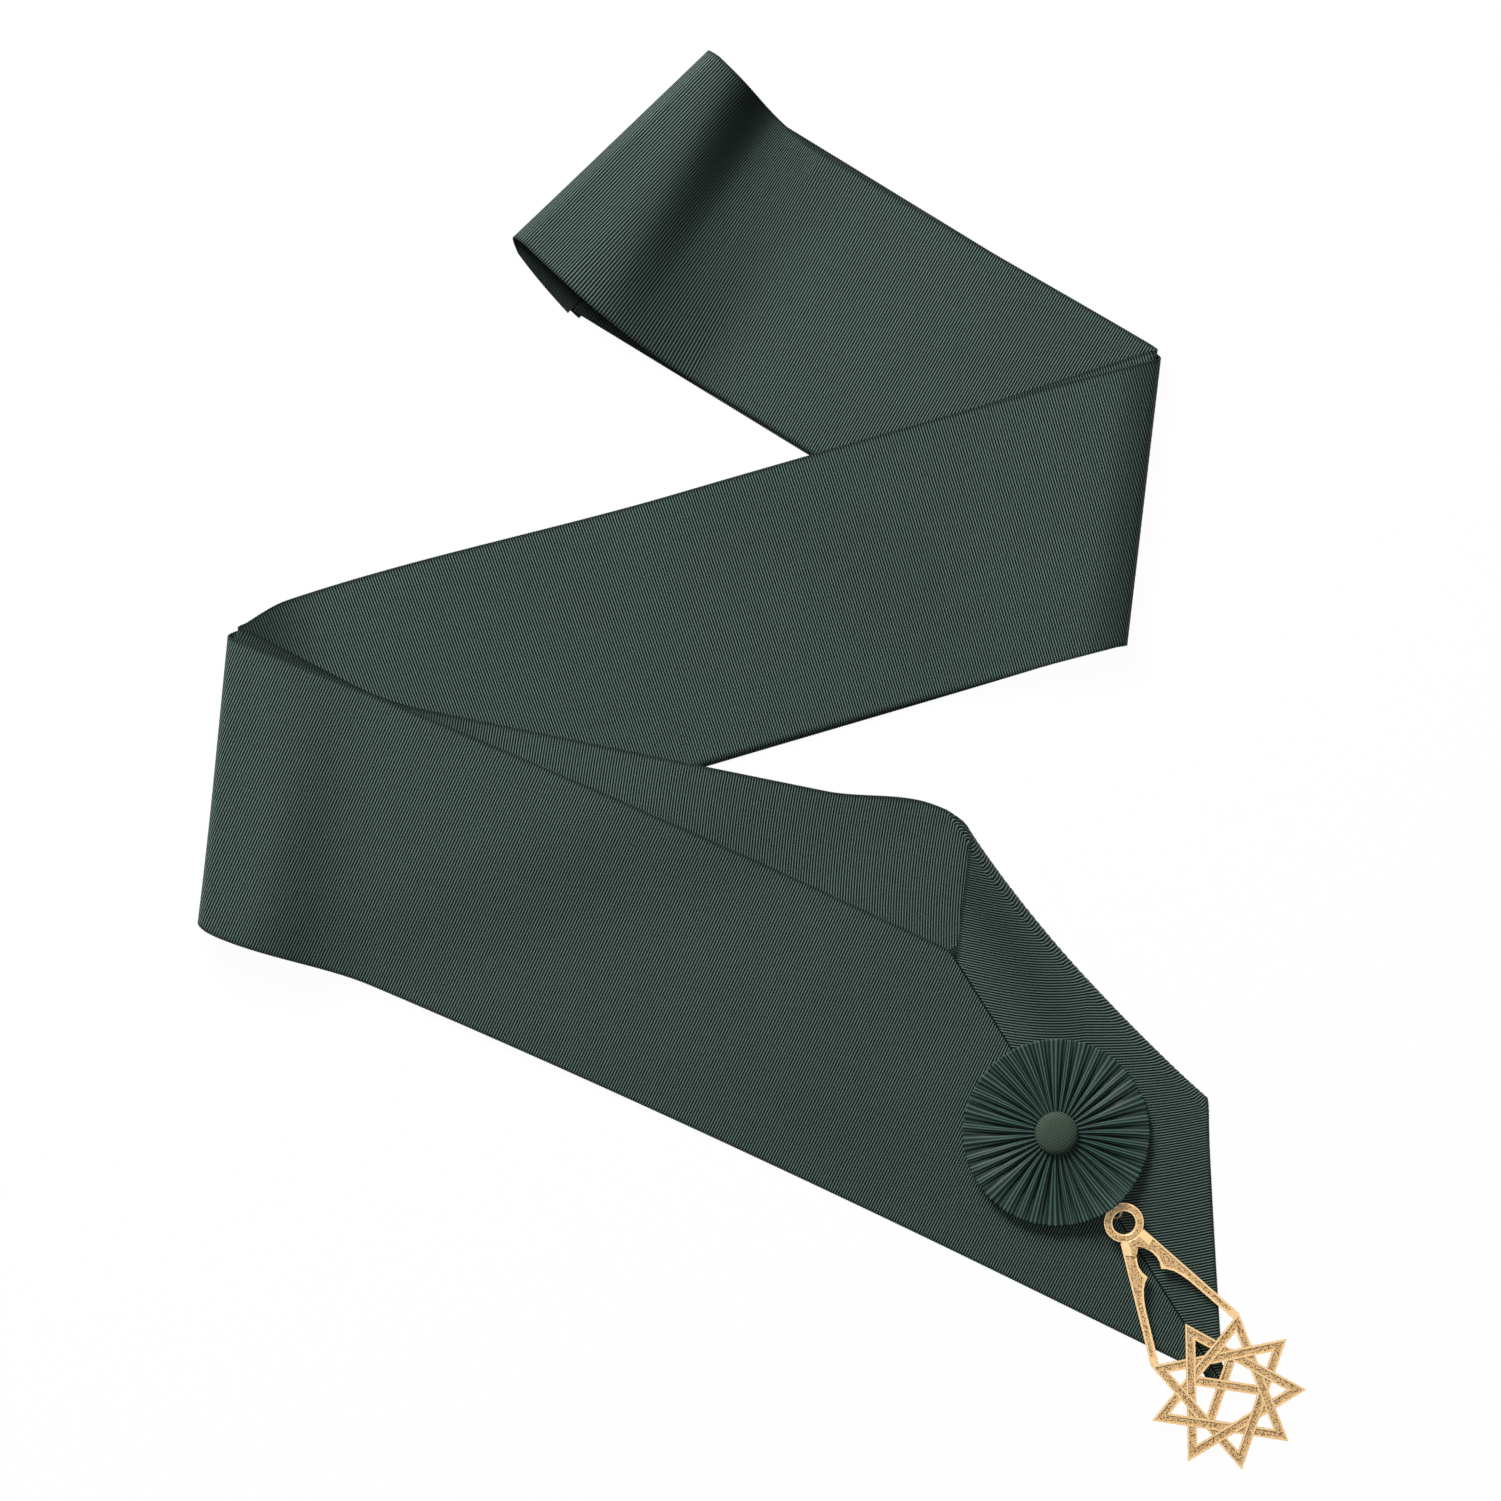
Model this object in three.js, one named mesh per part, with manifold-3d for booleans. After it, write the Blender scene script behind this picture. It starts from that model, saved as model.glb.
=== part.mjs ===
// Sash of an order, laid flat in three folds, with a pleated rosette and a gilt jewel at its hip point.
// Millimetres, +Z up. The sash lies on the plane z = 0, centred on the origin; +Y points to the shoulder end.
import * as THREE from 'three';
import { mergeVertices } from 'three/addons/utils/BufferGeometryUtils.js';
import Module from 'manifold-3d';

const wasm = await Module();
wasm.setup();

// Ribbon and the size of the laid sash, from its left fold to the hip point and from that to the top fold
const RIBBON_WIDTH = 100;
const RIBBON_WALL = 1;
const CLEARANCE = 0.3;
const FOLDED_WIDTH = 381;
const FOLDED_LENGTH = 495;
const SETTLE_LENGTH = 52;

// Rosette and its covered button
const ROSETTE_RADIUS = 35;
const ROSETTE_HUB_RADIUS = 9;
const ROSETTE_DISH = 2.8;
const PLEAT_COUNT = 37;
const BUTTON_RADIUS = 8;
const BUTTON_HEIGHT = 3.4;

// Wire link and the eye that holds it
const LINK_RADIUS = 3.3;
const LINK_WIRE = 1;
const LINK_OUTSTAND = 0.9;
const LINK_SLANT = 45;
const LINK_DIP = 11;
const EYE_WIRE = 0.7;
const EYE_PLATE = 0.6;
const EYE_PLATE_RADIUS = 1.7;

// Jewel: suspension ring, open compasses and a star of three interlaced triangles
const JEWEL_PLATE = 1.2;
const JEWEL_RELIEF = 0.3;
const JEWEL_BORDER = 0.7;
const JEWEL_RING_RADIUS = 7.4;
const JEWEL_HOLE_RADIUS = 4.4;
const STAR_RADIUS = 29.8;
const STAR_DISTANCE = 74;
const STAR_BAR = 3.6;
const STAR_POINTS = 9;
const CUT_OVERLAP = 0.06;

// Where the rosette sits by the mitre seam, as shares of the ribbon's width, and how the jewel hangs from it
const ROSETTE_UP_SEAM = 0.156;
const ROSETTE_OFF_SEAM = 0.025;
const HANG_ANGLE = -53.1;
const JEWEL_ANGLE = -58.7;

// Facets
const LEG_STEP = 15;
const FOLD_STEPS = 6;
const ACROSS_STEPS = 8;

// A strap is walked from the hip point. Each row is one leg of it and the fold or cut in which it ends.
// x, y: where the leg's centre line meets that edge, as shares of the folded width and length
// edge: direction of the edge, degrees; flare: how far it curves out at its ends, share of the ribbon width
// reach: how far the fold's loop stands beyond the flat leg, share of the ribbon width
// turn: sideways bend of the leg, degrees, made between the shares bendFrom and bendTo of its length
// lift: loop height over what lies below at the + and - selvedge, share of the width, kept over the
// shelf at each selvedge and then let down over the run; a loop starts from nothing at the leg's start
// tuck: how much of the - half is drawn in where the leg leaves its first fold, hidden under the leg before
const HIP_SEAM = { x: 0.8647, y: 0.1603, edge: 122.2 };
const SHOULDER_SEAM = { x: 0.4534, y: 0.8801, edge: 47.75 };

const FRONT_LEGS = [
  { name: 'face', over: ['low_band', 'top_band', 'inner'], x: 0.0128, y: 0.4525, edge: 84.5, flare: 0,
    reach: 0.045, turn: 4.5, bendFrom: 0, bendTo: 1,
    liftPlus: 0.085, liftMinus: 0.04, shelfPlus: 0.26, shelfMinus: 0.16, run: 0.42 },
  { name: 'low_band', over: ['low_end', 'top_end'], x: 0.9206, y: 0.6637, edge: 83.3, flare: 0,
    reach: 0.025, turn: 2, bendFrom: 0, bendTo: 1,
    liftPlus: 0.022, liftMinus: 0.022, shelfPlus: 0.2, shelfMinus: 0.2, run: 0.35 },
  { name: 'top_end', over: ['low_end', 'tail'], x: 0.4034, y: 0.9284, edge: 43.7, flare: 0,
    reach: 0.05, turn: -16, bendFrom: 0.7, bendTo: 0.9,
    liftPlus: 0.1, liftMinus: 0.1, shelfPlus: 0.24, shelfMinus: 0, run: 0.38 },
  { name: 'tail', over: [], ...SHOULDER_SEAM, flare: 0, reach: 0, turn: 0, bendFrom: 0, bendTo: 1,
    liftPlus: 0, liftMinus: 0, shelfPlus: 0, shelfMinus: 0, run: 1 },
];

const BACK_LEGS = [
  { name: 'point', over: ['inner'], x: 0.8696, y: 0.2979, edge: 131.9, flare: 0.09,
    reach: 0.03, turn: -9, bendFrom: 0, bendTo: 1,
    liftPlus: 0.06, liftMinus: 0.015, shelfPlus: 0.04, shelfMinus: 0.02, run: 0.3 },
  { name: 'inner', over: ['low_band', 'top_band'], x: 0.0333, y: 0.454, edge: 88, flare: 0,
    reach: 0.03, turn: -16, bendFrom: 0.8, bendTo: 0.93,
    liftPlus: 0.022, liftMinus: 0.035, shelfPlus: 0.1, shelfMinus: 0.15, run: 0.35, tuck: 0.22 },
  { name: 'top_band', over: ['low_end', 'top_end', 'low_band'], x: 0.926, y: 0.6591, edge: 83.3, flare: 0,
    reach: 0.045, turn: -5, bendFrom: 0, bendTo: 1,
    liftPlus: 0.05, liftMinus: 0.06, shelfPlus: 0.3, shelfMinus: 0.32, run: 0.42 },
  { name: 'low_end', over: [], ...SHOULDER_SEAM, flare: 0, reach: 0, turn: 0, bendFrom: 0, bendTo: 1,
    liftPlus: 0, liftMinus: 0, shelfPlus: 0, shelfMinus: 0, run: 1 },
];

const radians = (degrees) => (degrees * Math.PI) / 180;
const mix = (a, b, share) => a + (b - a) * share;
const clamp = (value, low, high) => Math.min(high, Math.max(low, value));
const direction = (angle) => new THREE.Vector2(Math.cos(angle), Math.sin(angle));
const leftOf = (vector) => new THREE.Vector2(-vector.y, vector.x);

function ease(share) {
  const t = clamp(share, 0, 1);
  return t * t * (3 - 2 * t);
}

// Displacement and turning of a leg of unit length that bends sideways between two shares of its length
function unitLeg(leg, share) {
  const before = Math.min(share, leg.bendFrom);
  const within = clamp(share - leg.bendFrom, 0, leg.bendTo - leg.bendFrom);
  const after = Math.max(share - leg.bendTo, 0);
  const turned = (radians(leg.turn) * within) / (leg.bendTo - leg.bendFrom);
  const half = turned / 2;
  const chord = within * (Math.abs(half) > 1e-6 ? Math.sin(half) / half : 1);
  const shift = new THREE.Vector2(before, 0);
  shift.addScaledVector(direction(half), chord).addScaledVector(direction(turned), after);
  return { shift, turned };
}

// A fold's outer edge or an end cut in plan: distance() is how far a point lies beyond it
function makeEdge(row, inside) {
  const at = new THREE.Vector2(row.x * FOLDED_WIDTH, row.y * FOLDED_LENGTH);
  const along = direction(radians(row.edge));
  const out = leftOf(along);
  if (inside.clone().sub(at).dot(out) > 0) out.negate();
  const distance = (point) => {
    const from = point.clone().sub(at);
    const off = clamp(from.dot(along) / RIBBON_WIDTH, -1, 1);
    return from.dot(out) - (row.flare ?? 0) * RIBBON_WIDTH * off * off;
  };
  return { at, out, distance };
}

// Plan of one leg between its two edges
function makeLeg(row, start, end, side) {
  const unit = unitLeg(row, 1).shift;
  const span = end.at.clone().sub(start.at);
  const length = span.length() / unit.length();
  const heading = span.angle() - unit.angle();
  const centre = (share) => {
    const { shift, turned } = unitLeg(row, share);
    const at = shift.multiplyScalar(length).rotateAround(new THREE.Vector2(), heading).add(start.at);
    return { at, forward: direction(heading + turned) };
  };
  const point = (share, across) => {
    const { at, forward } = centre(share);
    return at.addScaledVector(leftOf(forward), side * across);
  };
  const offsetOf = (plan) => {
    let share = 0.5;
    let offset = 0;
    for (let pass = 0; pass < 8; pass += 1) {
      const { at, forward } = centre(share);
      const from = plan.clone().sub(at);
      share += from.dot(forward) / length;
      offset = side * from.dot(leftOf(forward));
    }
    return offset;
  };
  const meets = (edge, inset, across, guess) => {
    const nudge = 1e-4;
    const gap = (share) => edge.distance(point(share, across)) + inset;
    let share = guess;
    for (let pass = 0; pass < 8; pass += 1) {
      share -= (gap(share) * nudge) / (gap(share + nudge) - gap(share));
    }
    return share;
  };
  return { row, start, end, length, point, offsetOf, meets };
}

// The legs of a strap, turned over at each fold
function planStrap(rows) {
  const stops = [HIP_SEAM, ...rows];
  const places = stops.map((stop) => new THREE.Vector2(stop.x * FOLDED_WIDTH, stop.y * FOLDED_LENGTH));
  const inside = (index) => {
    const before = places[index - 1] ?? places[index + 1];
    const after = places[index + 1] ?? places[index - 1];
    return before.clone().lerp(after, 0.5);
  };
  const edges = stops.map((stop, index) => makeEdge(stop, inside(index)));
  return rows.map((row, index) => {
    const leg = makeLeg(row, edges[index], edges[index + 1], index % 2 ? -1 : 1);
    leg.startInset = index ? rows[index - 1].reach * RIBBON_WIDTH : CLEARANCE;
    leg.endInset = row.reach > 0 ? row.reach * RIBBON_WIDTH : CLEARANCE;
    return leg;
  });
}

const frontPlan = planStrap(FRONT_LEGS);
const backPlan = planStrap(BACK_LEGS);
const legByName = Object.fromEntries([...frontPlan, ...backPlan].map((leg) => [leg.row.name, leg]));

// How fully a leg lies under a point: 1 on the leg, easing to 0 at the settling length beyond its edges
function coverOf(leg, plan) {
  const beyond = Math.max(
    Math.abs(leg.offsetOf(plan)) - RIBBON_WIDTH / 2, leg.start.distance(plan), leg.end.distance(plan));
  return 1 - ease((beyond - CLEARANCE) / SETTLE_LENGTH);
}

// Height of the middle of a leg's wall: one layer for each leg that it lies over, and its own loop
function heightOf(leg, plan, across) {
  const layer = RIBBON_WALL + CLEARANCE;
  const stack = leg.row.over.reduce((sum, name) => sum + coverOf(legByName[name], plan), 0);
  const share = across / RIBBON_WIDTH + 0.5;
  const lift = mix(leg.row.liftMinus, leg.row.liftPlus, share) * RIBBON_WIDTH;
  const shelf = mix(leg.row.shelfMinus, leg.row.shelfPlus, share) * RIBBON_WIDTH;
  const run = leg.row.run * RIBBON_WIDTH;
  const loop = lift * (1 - ease((-leg.end.distance(plan) - shelf) / run)) * ease(-leg.start.distance(plan) / run);
  return RIBBON_WALL / 2 + layer * stack + loop;
}

const acrossPlaces = Array.from(
  { length: ACROSS_STEPS + 1 }, (_, index) => RIBBON_WIDTH * (index / ACROSS_STEPS - 0.5));

// Rows of points across the ribbon, down the whole of one leg
function legRows(leg) {
  const steps = Math.max(2, Math.round(leg.length / LEG_STEP));
  const drawnIn = (across, share) => {
    const tuck = across < 0 ? (leg.row.tuck ?? 0) * (1 - ease((share * leg.length) / RIBBON_WIDTH)) : 0;
    return across * (1 - tuck);
  };
  const limits = acrossPlaces.map((across) => ({
    across,
    from: leg.meets(leg.start, leg.startInset, drawnIn(across, 0), 0),
    to: leg.meets(leg.end, leg.endInset, across, 1),
  }));
  return Array.from({ length: steps + 1 }, (_, step) => limits.map(({ across, from, to }) => {
    const plan = leg.point(mix(from, to, step / steps), drawnIn(across, step / steps));
    return new THREE.Vector3(plan.x, plan.y, heightOf(leg, plan, across));
  }));
}

// Rows of the loop between the last row of one leg and the first row of the next
function foldRows(last, first, leg) {
  const rows = [];
  for (let step = 1; step < FOLD_STEPS; step += 1) {
    const angle = (Math.PI * step) / FOLD_STEPS;
    const over = (1 - Math.cos(angle)) / 2;
    const out = leg.end.out.clone().multiplyScalar(leg.endInset * Math.sin(angle));
    rows.push(last.map((point, index) => {
      const loop = point.clone().lerp(first[index], step / FOLD_STEPS);
      return loop.set(loop.x + out.x, loop.y + out.y, mix(point.z, first[index].z, over));
    }));
  }
  return rows;
}

// Closed wall of the ribbon's thickness around a grid of points on its middle
function wallGeometry(rows) {
  const columns = rows[0].length;
  const at = (i, j) => rows[clamp(i, 0, rows.length - 1)][clamp(j, 0, columns - 1)];
  const faces = [[], []];
  rows.forEach((row, i) => row.forEach((point, j) => {
    const along = at(i + 1, j).clone().sub(at(i - 1, j));
    const across = at(i, j + 1).clone().sub(at(i, j - 1));
    const normal = along.cross(across).normalize();
    faces[0].push(point.clone().addScaledVector(normal, RIBBON_WALL / 2));
    faces[1].push(point.clone().addScaledVector(normal, -RIBBON_WALL / 2));
  }));
  const count = rows.length * columns;
  const index = [];
  const quad = (a, b, c, d) => index.push(a, b, c, a, c, d);
  for (let i = 0; i < rows.length - 1; i += 1) {
    for (let j = 0; j < columns - 1; j += 1) {
      const a = i * columns + j;
      quad(a, a + columns, a + columns + 1, a + 1);
      quad(count + a, count + a + 1, count + a + columns + 1, count + a + columns);
    }
  }
  const rim = [];
  for (let i = 0; i < rows.length - 1; i += 1) rim.push(i * columns);
  for (let j = 0; j < columns - 1; j += 1) rim.push((rows.length - 1) * columns + j);
  for (let i = rows.length - 1; i > 0; i -= 1) rim.push(i * columns + columns - 1);
  for (let j = columns - 1; j > 0; j -= 1) rim.push(j);
  rim.forEach((a, place) => {
    const b = rim[(place + 1) % rim.length];
    quad(a, count + a, count + b, b);
  });
  const geometry = new THREE.BufferGeometry().setFromPoints([...faces[0], ...faces[1]]);
  geometry.setIndex(index);
  return geometry;
}

function strapGeometry(plan) {
  const legs = plan.map(legRows);
  const rows = legs.flatMap((leg, index) => {
    const next = legs[index + 1];
    return next ? [...leg, ...foldRows(leg.at(-1), next[0], plan[index])] : leg;
  });
  return wallGeometry(rows);
}

// Joining and cutting
function solidOf(geometry) {
  geometry.deleteAttribute('normal');
  geometry.deleteAttribute('uv');
  const merged = mergeVertices(geometry, 1e-4);
  const vertProperties = new Float32Array(merged.attributes.position.array);
  const triVerts = new Uint32Array(merged.index.array);
  return new wasm.Manifold(new wasm.Mesh({ numProp: 3, vertProperties, triVerts }));
}

function geometryOf(solid) {
  const mesh = solid.getMesh();
  const geometry = new THREE.BufferGeometry();
  geometry.setAttribute('position', new THREE.BufferAttribute(mesh.vertProperties, mesh.numProp));
  geometry.setIndex(new THREE.BufferAttribute(mesh.triVerts, 1));
  return geometry;
}

function prism(shape, bottom, top, curveSegments = 6) {
  const geometry = new THREE.ExtrudeGeometry(
    shape, { depth: top - bottom, bevelEnabled: false, curveSegments });
  return solidOf(geometry.translate(0, 0, bottom));
}

const joined = (solids) => solids.reduce((whole, solid) => whole.add(solid));

// The main body of a solid, without the empty slivers that flush faces leave
const bodyOf = (solid) => solid.decompose().reduce((a, b) => (a.volume() > b.volume() ? a : b));

// The rosette and the jewel's hanging line, from the hip seam
const seamAt = new THREE.Vector2(HIP_SEAM.x * FOLDED_WIDTH, HIP_SEAM.y * FOLDED_LENGTH);
const upSeam = direction(radians(HIP_SEAM.edge));
const rosetteAt = seamAt.clone()
  .addScaledVector(upSeam, ROSETTE_UP_SEAM * RIBBON_WIDTH)
  .addScaledVector(leftOf(upSeam), ROSETTE_OFF_SEAM * RIBBON_WIDTH);
const hangLine = direction(radians(HANG_ANGLE));
const ringMiddle = (JEWEL_RING_RADIUS + JEWEL_HOLE_RADIUS) / 2;
const linkAt = rosetteAt.clone().addScaledVector(hangLine, ROSETTE_RADIUS + LINK_OUTSTAND);
const jewelAt = linkAt.clone().addScaledVector(hangLine, ringMiddle);
const tipAt = frontPlan[0].point(
  frontPlan[0].meets(frontPlan[0].start, 0, RIBBON_WIDTH / 2, 0), RIBBON_WIDTH / 2);

function ribbonTop(plan) {
  return heightOf(frontPlan[0], plan, 0) + RIBBON_WALL / 2;
}

// The jewel leans on the ribbon's point, with the star's far points on the table
const starAxis = direction(radians(JEWEL_ANGLE));
const tipAlong = tipAt.clone().sub(jewelAt).dot(starAxis);
const tipHeight = ribbonTop(tipAt) + 1.5 * CLEARANCE;
const JEWEL_LEAN = Math.atan(tipHeight / (STAR_DISTANCE + STAR_RADIUS - tipAlong));
const jewelRingHeight = tipHeight + tipAlong * Math.tan(JEWEL_LEAN);
const linkHeight = jewelRingHeight + (JEWEL_PLATE + JEWEL_RELIEF) / 2;

// The link runs through the jewel's ring on a slant, with its outer end let down under the rosette's rim
const linkFrame = new THREE.Matrix4()
  .makeRotationZ(radians(HANG_ANGLE))
  .multiply(new THREE.Matrix4().makeRotationY(-radians(LINK_DIP)))
  .multiply(new THREE.Matrix4().makeRotationX(radians(LINK_SLANT)));

function linkGeometry() {
  return new THREE.TorusGeometry(LINK_RADIUS, LINK_WIRE / 2, 6, 22).applyMatrix4(linkFrame);
}

// Underside of the rosette: seated on the ribbon at its hub, dished up towards the rim and arched over the link
const rosetteSeat = ribbonTop(rosetteAt) + 1.5 * CLEARANCE;
const linkTop = linkHeight + new THREE.Box3().setFromBufferAttribute(linkGeometry().attributes.position).max.z;
const rosetteArch = Math.max(0, linkTop + 1.5 * CLEARANCE - rosetteSeat - ROSETTE_DISH);

function rosetteUnderside(radius, angle) {
  const outward = Math.max(0, radius - ROSETTE_HUB_RADIUS) / (ROSETTE_RADIUS - ROSETTE_HUB_RADIUS);
  const offLink = Math.atan2(Math.sin(angle - radians(HANG_ANGLE)), Math.cos(angle - radians(HANG_ANGLE)));
  const arch = rosetteArch * Math.exp(-((offLink / radians(17)) ** 2));
  return rosetteSeat + ROSETTE_DISH * outward + arch * outward * outward;
}

// Crest thickness and pleat depth over the rosette's radius, as shares of the radius
const ROSETTE_SECTIONS = [
  { radius: 0.13, thickness: 0.085, pleat: 0.03 },
  { radius: 0.26, thickness: 0.1, pleat: 0.06 },
  { radius: 0.45, thickness: 0.088, pleat: 0.05 },
  { radius: 0.65, thickness: 0.07, pleat: 0.036 },
  { radius: 0.85, thickness: 0.055, pleat: 0.025 },
  { radius: 1, thickness: 0.045, pleat: 0.016 },
];

function rosetteGeometry() {
  const around = 2 * PLEAT_COUNT;
  const points = [];
  const ring = (section, top) => {
    const radius = section.radius * ROSETTE_RADIUS;
    for (let step = 0; step < around; step += 1) {
      const angle = (2 * Math.PI * step) / around;
      const crest = section.thickness - (step % 2) * section.pleat;
      const rise = top ? crest * ROSETTE_RADIUS : 0;
      points.push(new THREE.Vector3(
        radius * Math.cos(angle), radius * Math.sin(angle), rosetteUnderside(radius, angle) + rise));
    }
  };
  ROSETTE_SECTIONS.forEach((section) => ring(section, true));
  [...ROSETTE_SECTIONS].reverse().forEach((section) => ring(section, false));
  const rings = 2 * ROSETTE_SECTIONS.length;
  const index = [];
  for (let i = 0; i < rings - 1; i += 1) {
    for (let j = 0; j < around; j += 1) {
      const a = i * around + j;
      const b = i * around + ((j + 1) % around);
      index.push(a, a + around, b + around, a, b + around, b);
    }
  }
  const hub = ROSETTE_SECTIONS[0];
  const topMiddle = points.length;
  points.push(new THREE.Vector3(0, 0, rosetteSeat + (hub.thickness - hub.pleat) * ROSETTE_RADIUS));
  points.push(new THREE.Vector3(0, 0, rosetteSeat));
  for (let j = 0; j < around; j += 1) {
    const next = (j + 1) % around;
    const last = (rings - 1) * around;
    index.push(topMiddle, j, next, topMiddle + 1, last + next, last + j);
  }
  const geometry = new THREE.BufferGeometry().setFromPoints(points);
  geometry.setIndex(index);
  return geometry;
}

const buttonSeat = rosetteSeat + ROSETTE_SECTIONS[1].thickness * ROSETTE_RADIUS + CLEARANCE;

function buttonGeometry() {
  const profile = [new THREE.Vector2(0, 0), new THREE.Vector2(0.86 * BUTTON_RADIUS, 0)];
  const steps = 5;
  for (let step = 0; step <= steps; step += 1) {
    const angle = (Math.PI / 2) * (step / steps);
    const radius = BUTTON_RADIUS * Math.cos(angle) ** 0.8;
    profile.push(new THREE.Vector2(
      step === steps ? 0 : radius, BUTTON_HEIGHT * (0.22 + 0.78 * Math.sin(angle))));
  }
  return new THREE.LatheGeometry(profile, 22).rotateX(Math.PI / 2);
}

const eyeFromLink = new THREE.Vector3(-LINK_RADIUS, 0, 0).applyMatrix4(linkFrame);
const eyeAt = linkAt.clone().add(new THREE.Vector2(eyeFromLink.x, eyeFromLink.y));
const eyeFloor = ribbonTop(eyeAt) + 1.5 * CLEARANCE;

function eyeGeometry() {
  const loopRadius = LINK_WIRE / 2 + 1.5 * CLEARANCE + EYE_WIRE / 2;
  const loopHeight = linkHeight + eyeFromLink.z - eyeFloor;
  const slant = radians(LINK_SLANT);
  const loop = solidOf(new THREE.TorusGeometry(loopRadius, EYE_WIRE / 2, 6, 14)
    .rotateX(Math.PI / 2).rotateX(slant).translate(0, 0, loopHeight));
  const shankOff = loopRadius * Math.sin(slant);
  const plate = new THREE.Shape().absarc(0, shankOff, EYE_PLATE_RADIUS, 0, 2 * Math.PI);
  const shankTop = loopHeight - loopRadius * Math.cos(slant);
  const shank = solidOf(new THREE.CylinderGeometry(EYE_WIRE / 2, EYE_WIRE / 2, shankTop, 8)
    .rotateX(Math.PI / 2).translate(0, shankOff, shankTop / 2));
  return geometryOf(joined([prism(plate, 0, EYE_PLATE, 5), shank, loop]));
}

// Jewel, in its own frame: origin at its suspension ring's middle, +X towards the star
const starPoint = (place, radius = STAR_RADIUS) => {
  const at = direction(Math.PI - (2 * Math.PI * place) / STAR_POINTS).multiplyScalar(radius);
  return at.add(new THREE.Vector2(STAR_DISTANCE, 0));
};

// A closed band round one of the star's triangles, between two insets from its outer edge
function triangleBand(first, fromInset, toInset) {
  const corners = (inset) => [0, 3, 6].map((step) => starPoint(first + step, STAR_RADIUS - 2 * inset));
  const band = new THREE.Shape(corners(fromInset).reverse());
  band.holes.push(new THREE.Path(corners(toInset)));
  return band;
}

// The side that runs from one point of the star to the third point back, a little over its full width
function sideStrip(place) {
  const from = starPoint(place);
  const to = starPoint(place - 3);
  const inward = leftOf(to.clone().sub(from).normalize());
  if (inward.dot(new THREE.Vector2(STAR_DISTANCE, 0).sub(from)) < 0) inward.negate();
  const corner = (end, depth) => end.clone().addScaledVector(inward, depth);
  return new THREE.Shape([
    corner(from, -CUT_OVERLAP), corner(to, -CUT_OVERLAP),
    corner(to, STAR_BAR + CUT_OVERLAP), corner(from, STAR_BAR + CUT_OVERLAP)]);
}

// Where two sides cross, the one nearer to its own starting point lies on top
function crossingCuts(place) {
  const strips = [];
  const top = JEWEL_PLATE + 2 * JEWEL_RELIEF;
  const mine = prism(sideStrip(place), JEWEL_PLATE, top);
  [1, 2].forEach((step) => strips.push(mine.intersect(prism(sideStrip(place - step), JEWEL_PLATE, top))));
  return joined(strips);
}

// Two narrower bars that cross inside the star
const INNER_BAR_ANGLE = 50;
const INNER_BAR_OFFSET = 2.3;
const INNER_BAR_LENGTH = 26.4;

function innerBar(side) {
  const along = direction(radians(side * INNER_BAR_ANGLE));
  const across = leftOf(along).multiplyScalar(side);
  const middle = new THREE.Vector2(STAR_DISTANCE, 0).addScaledVector(across, INNER_BAR_OFFSET);
  const bar = (fromInset, toInset) => {
    const corner = (end, inset) => middle.clone()
      .addScaledVector(along, (end * INNER_BAR_LENGTH) / 2)
      .addScaledVector(across, STAR_BAR / 2 - inset);
    return new THREE.Shape([
      corner(-1, fromInset), corner(1, fromInset), corner(1, toInset), corner(-1, toInset)]);
  };
  return {
    whole: bar(0, STAR_BAR),
    room: bar(-CUT_OVERLAP, STAR_BAR + CUT_OVERLAP),
    edges: [bar(0, JEWEL_BORDER), bar(STAR_BAR - JEWEL_BORDER, STAR_BAR)],
  };
}

// Half of the compasses, as shares of the reach and spread that bring the leg's end to a point of the star:
// its outline and the sunk field on the leg
const COMPASS_CURVES = [
  { controlX: 0.311, controlY: 0.306, x: 0.43, y: 0.154 },
  { controlX: 0.467, controlY: 0.402, x: 0.695, y: 0.574 },
];
const COMPASS_CROTCH = 0.204;
const COMPASS_END = { x: 1.045, y: 0.87 };
const COMPASS_HEAD = { x: 0.118, y: 0.266 };
const COMPASS_FIELD = [
  { x: 0.21, y: 0.31 }, { x: 0.95, y: 0.915 }, { x: 0.95, y: 0.85 }, { x: 0.7, y: 0.62 },
  { x: 0.56, y: 0.5 }, { x: 0.475, y: 0.36 }, { x: 0.43, y: 0.235 }, { x: 0.34, y: 0.25 }, { x: 0.25, y: 0.16 },
];

function compassHalf(side) {
  const legEnd = starPoint(1);
  const place = (x, y) => new THREE.Vector2(x * legEnd.x, side * y * Math.abs(legEnd.y));
  const outline = new THREE.Shape();
  outline.moveTo(COMPASS_HEAD.x * legEnd.x, 0);
  outline.lineTo(COMPASS_CROTCH * legEnd.x, 0);
  COMPASS_CURVES.forEach((curve) => {
    const control = place(curve.controlX, curve.controlY);
    const end = place(curve.x, curve.y);
    outline.quadraticCurveTo(control.x, control.y, end.x, end.y);
  });
  [COMPASS_END, { x: 1, y: 1 }, COMPASS_HEAD].forEach((corner) => {
    const at = place(corner.x, corner.y);
    outline.lineTo(at.x, at.y);
  });
  const field = new THREE.Shape(COMPASS_FIELD.map((corner) => place(corner.x, corner.y)));
  const top = JEWEL_PLATE + JEWEL_RELIEF;
  return prism(outline, 0, top, 5).subtract(prism(field, JEWEL_PLATE, top + JEWEL_RELIEF));
}

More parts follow.
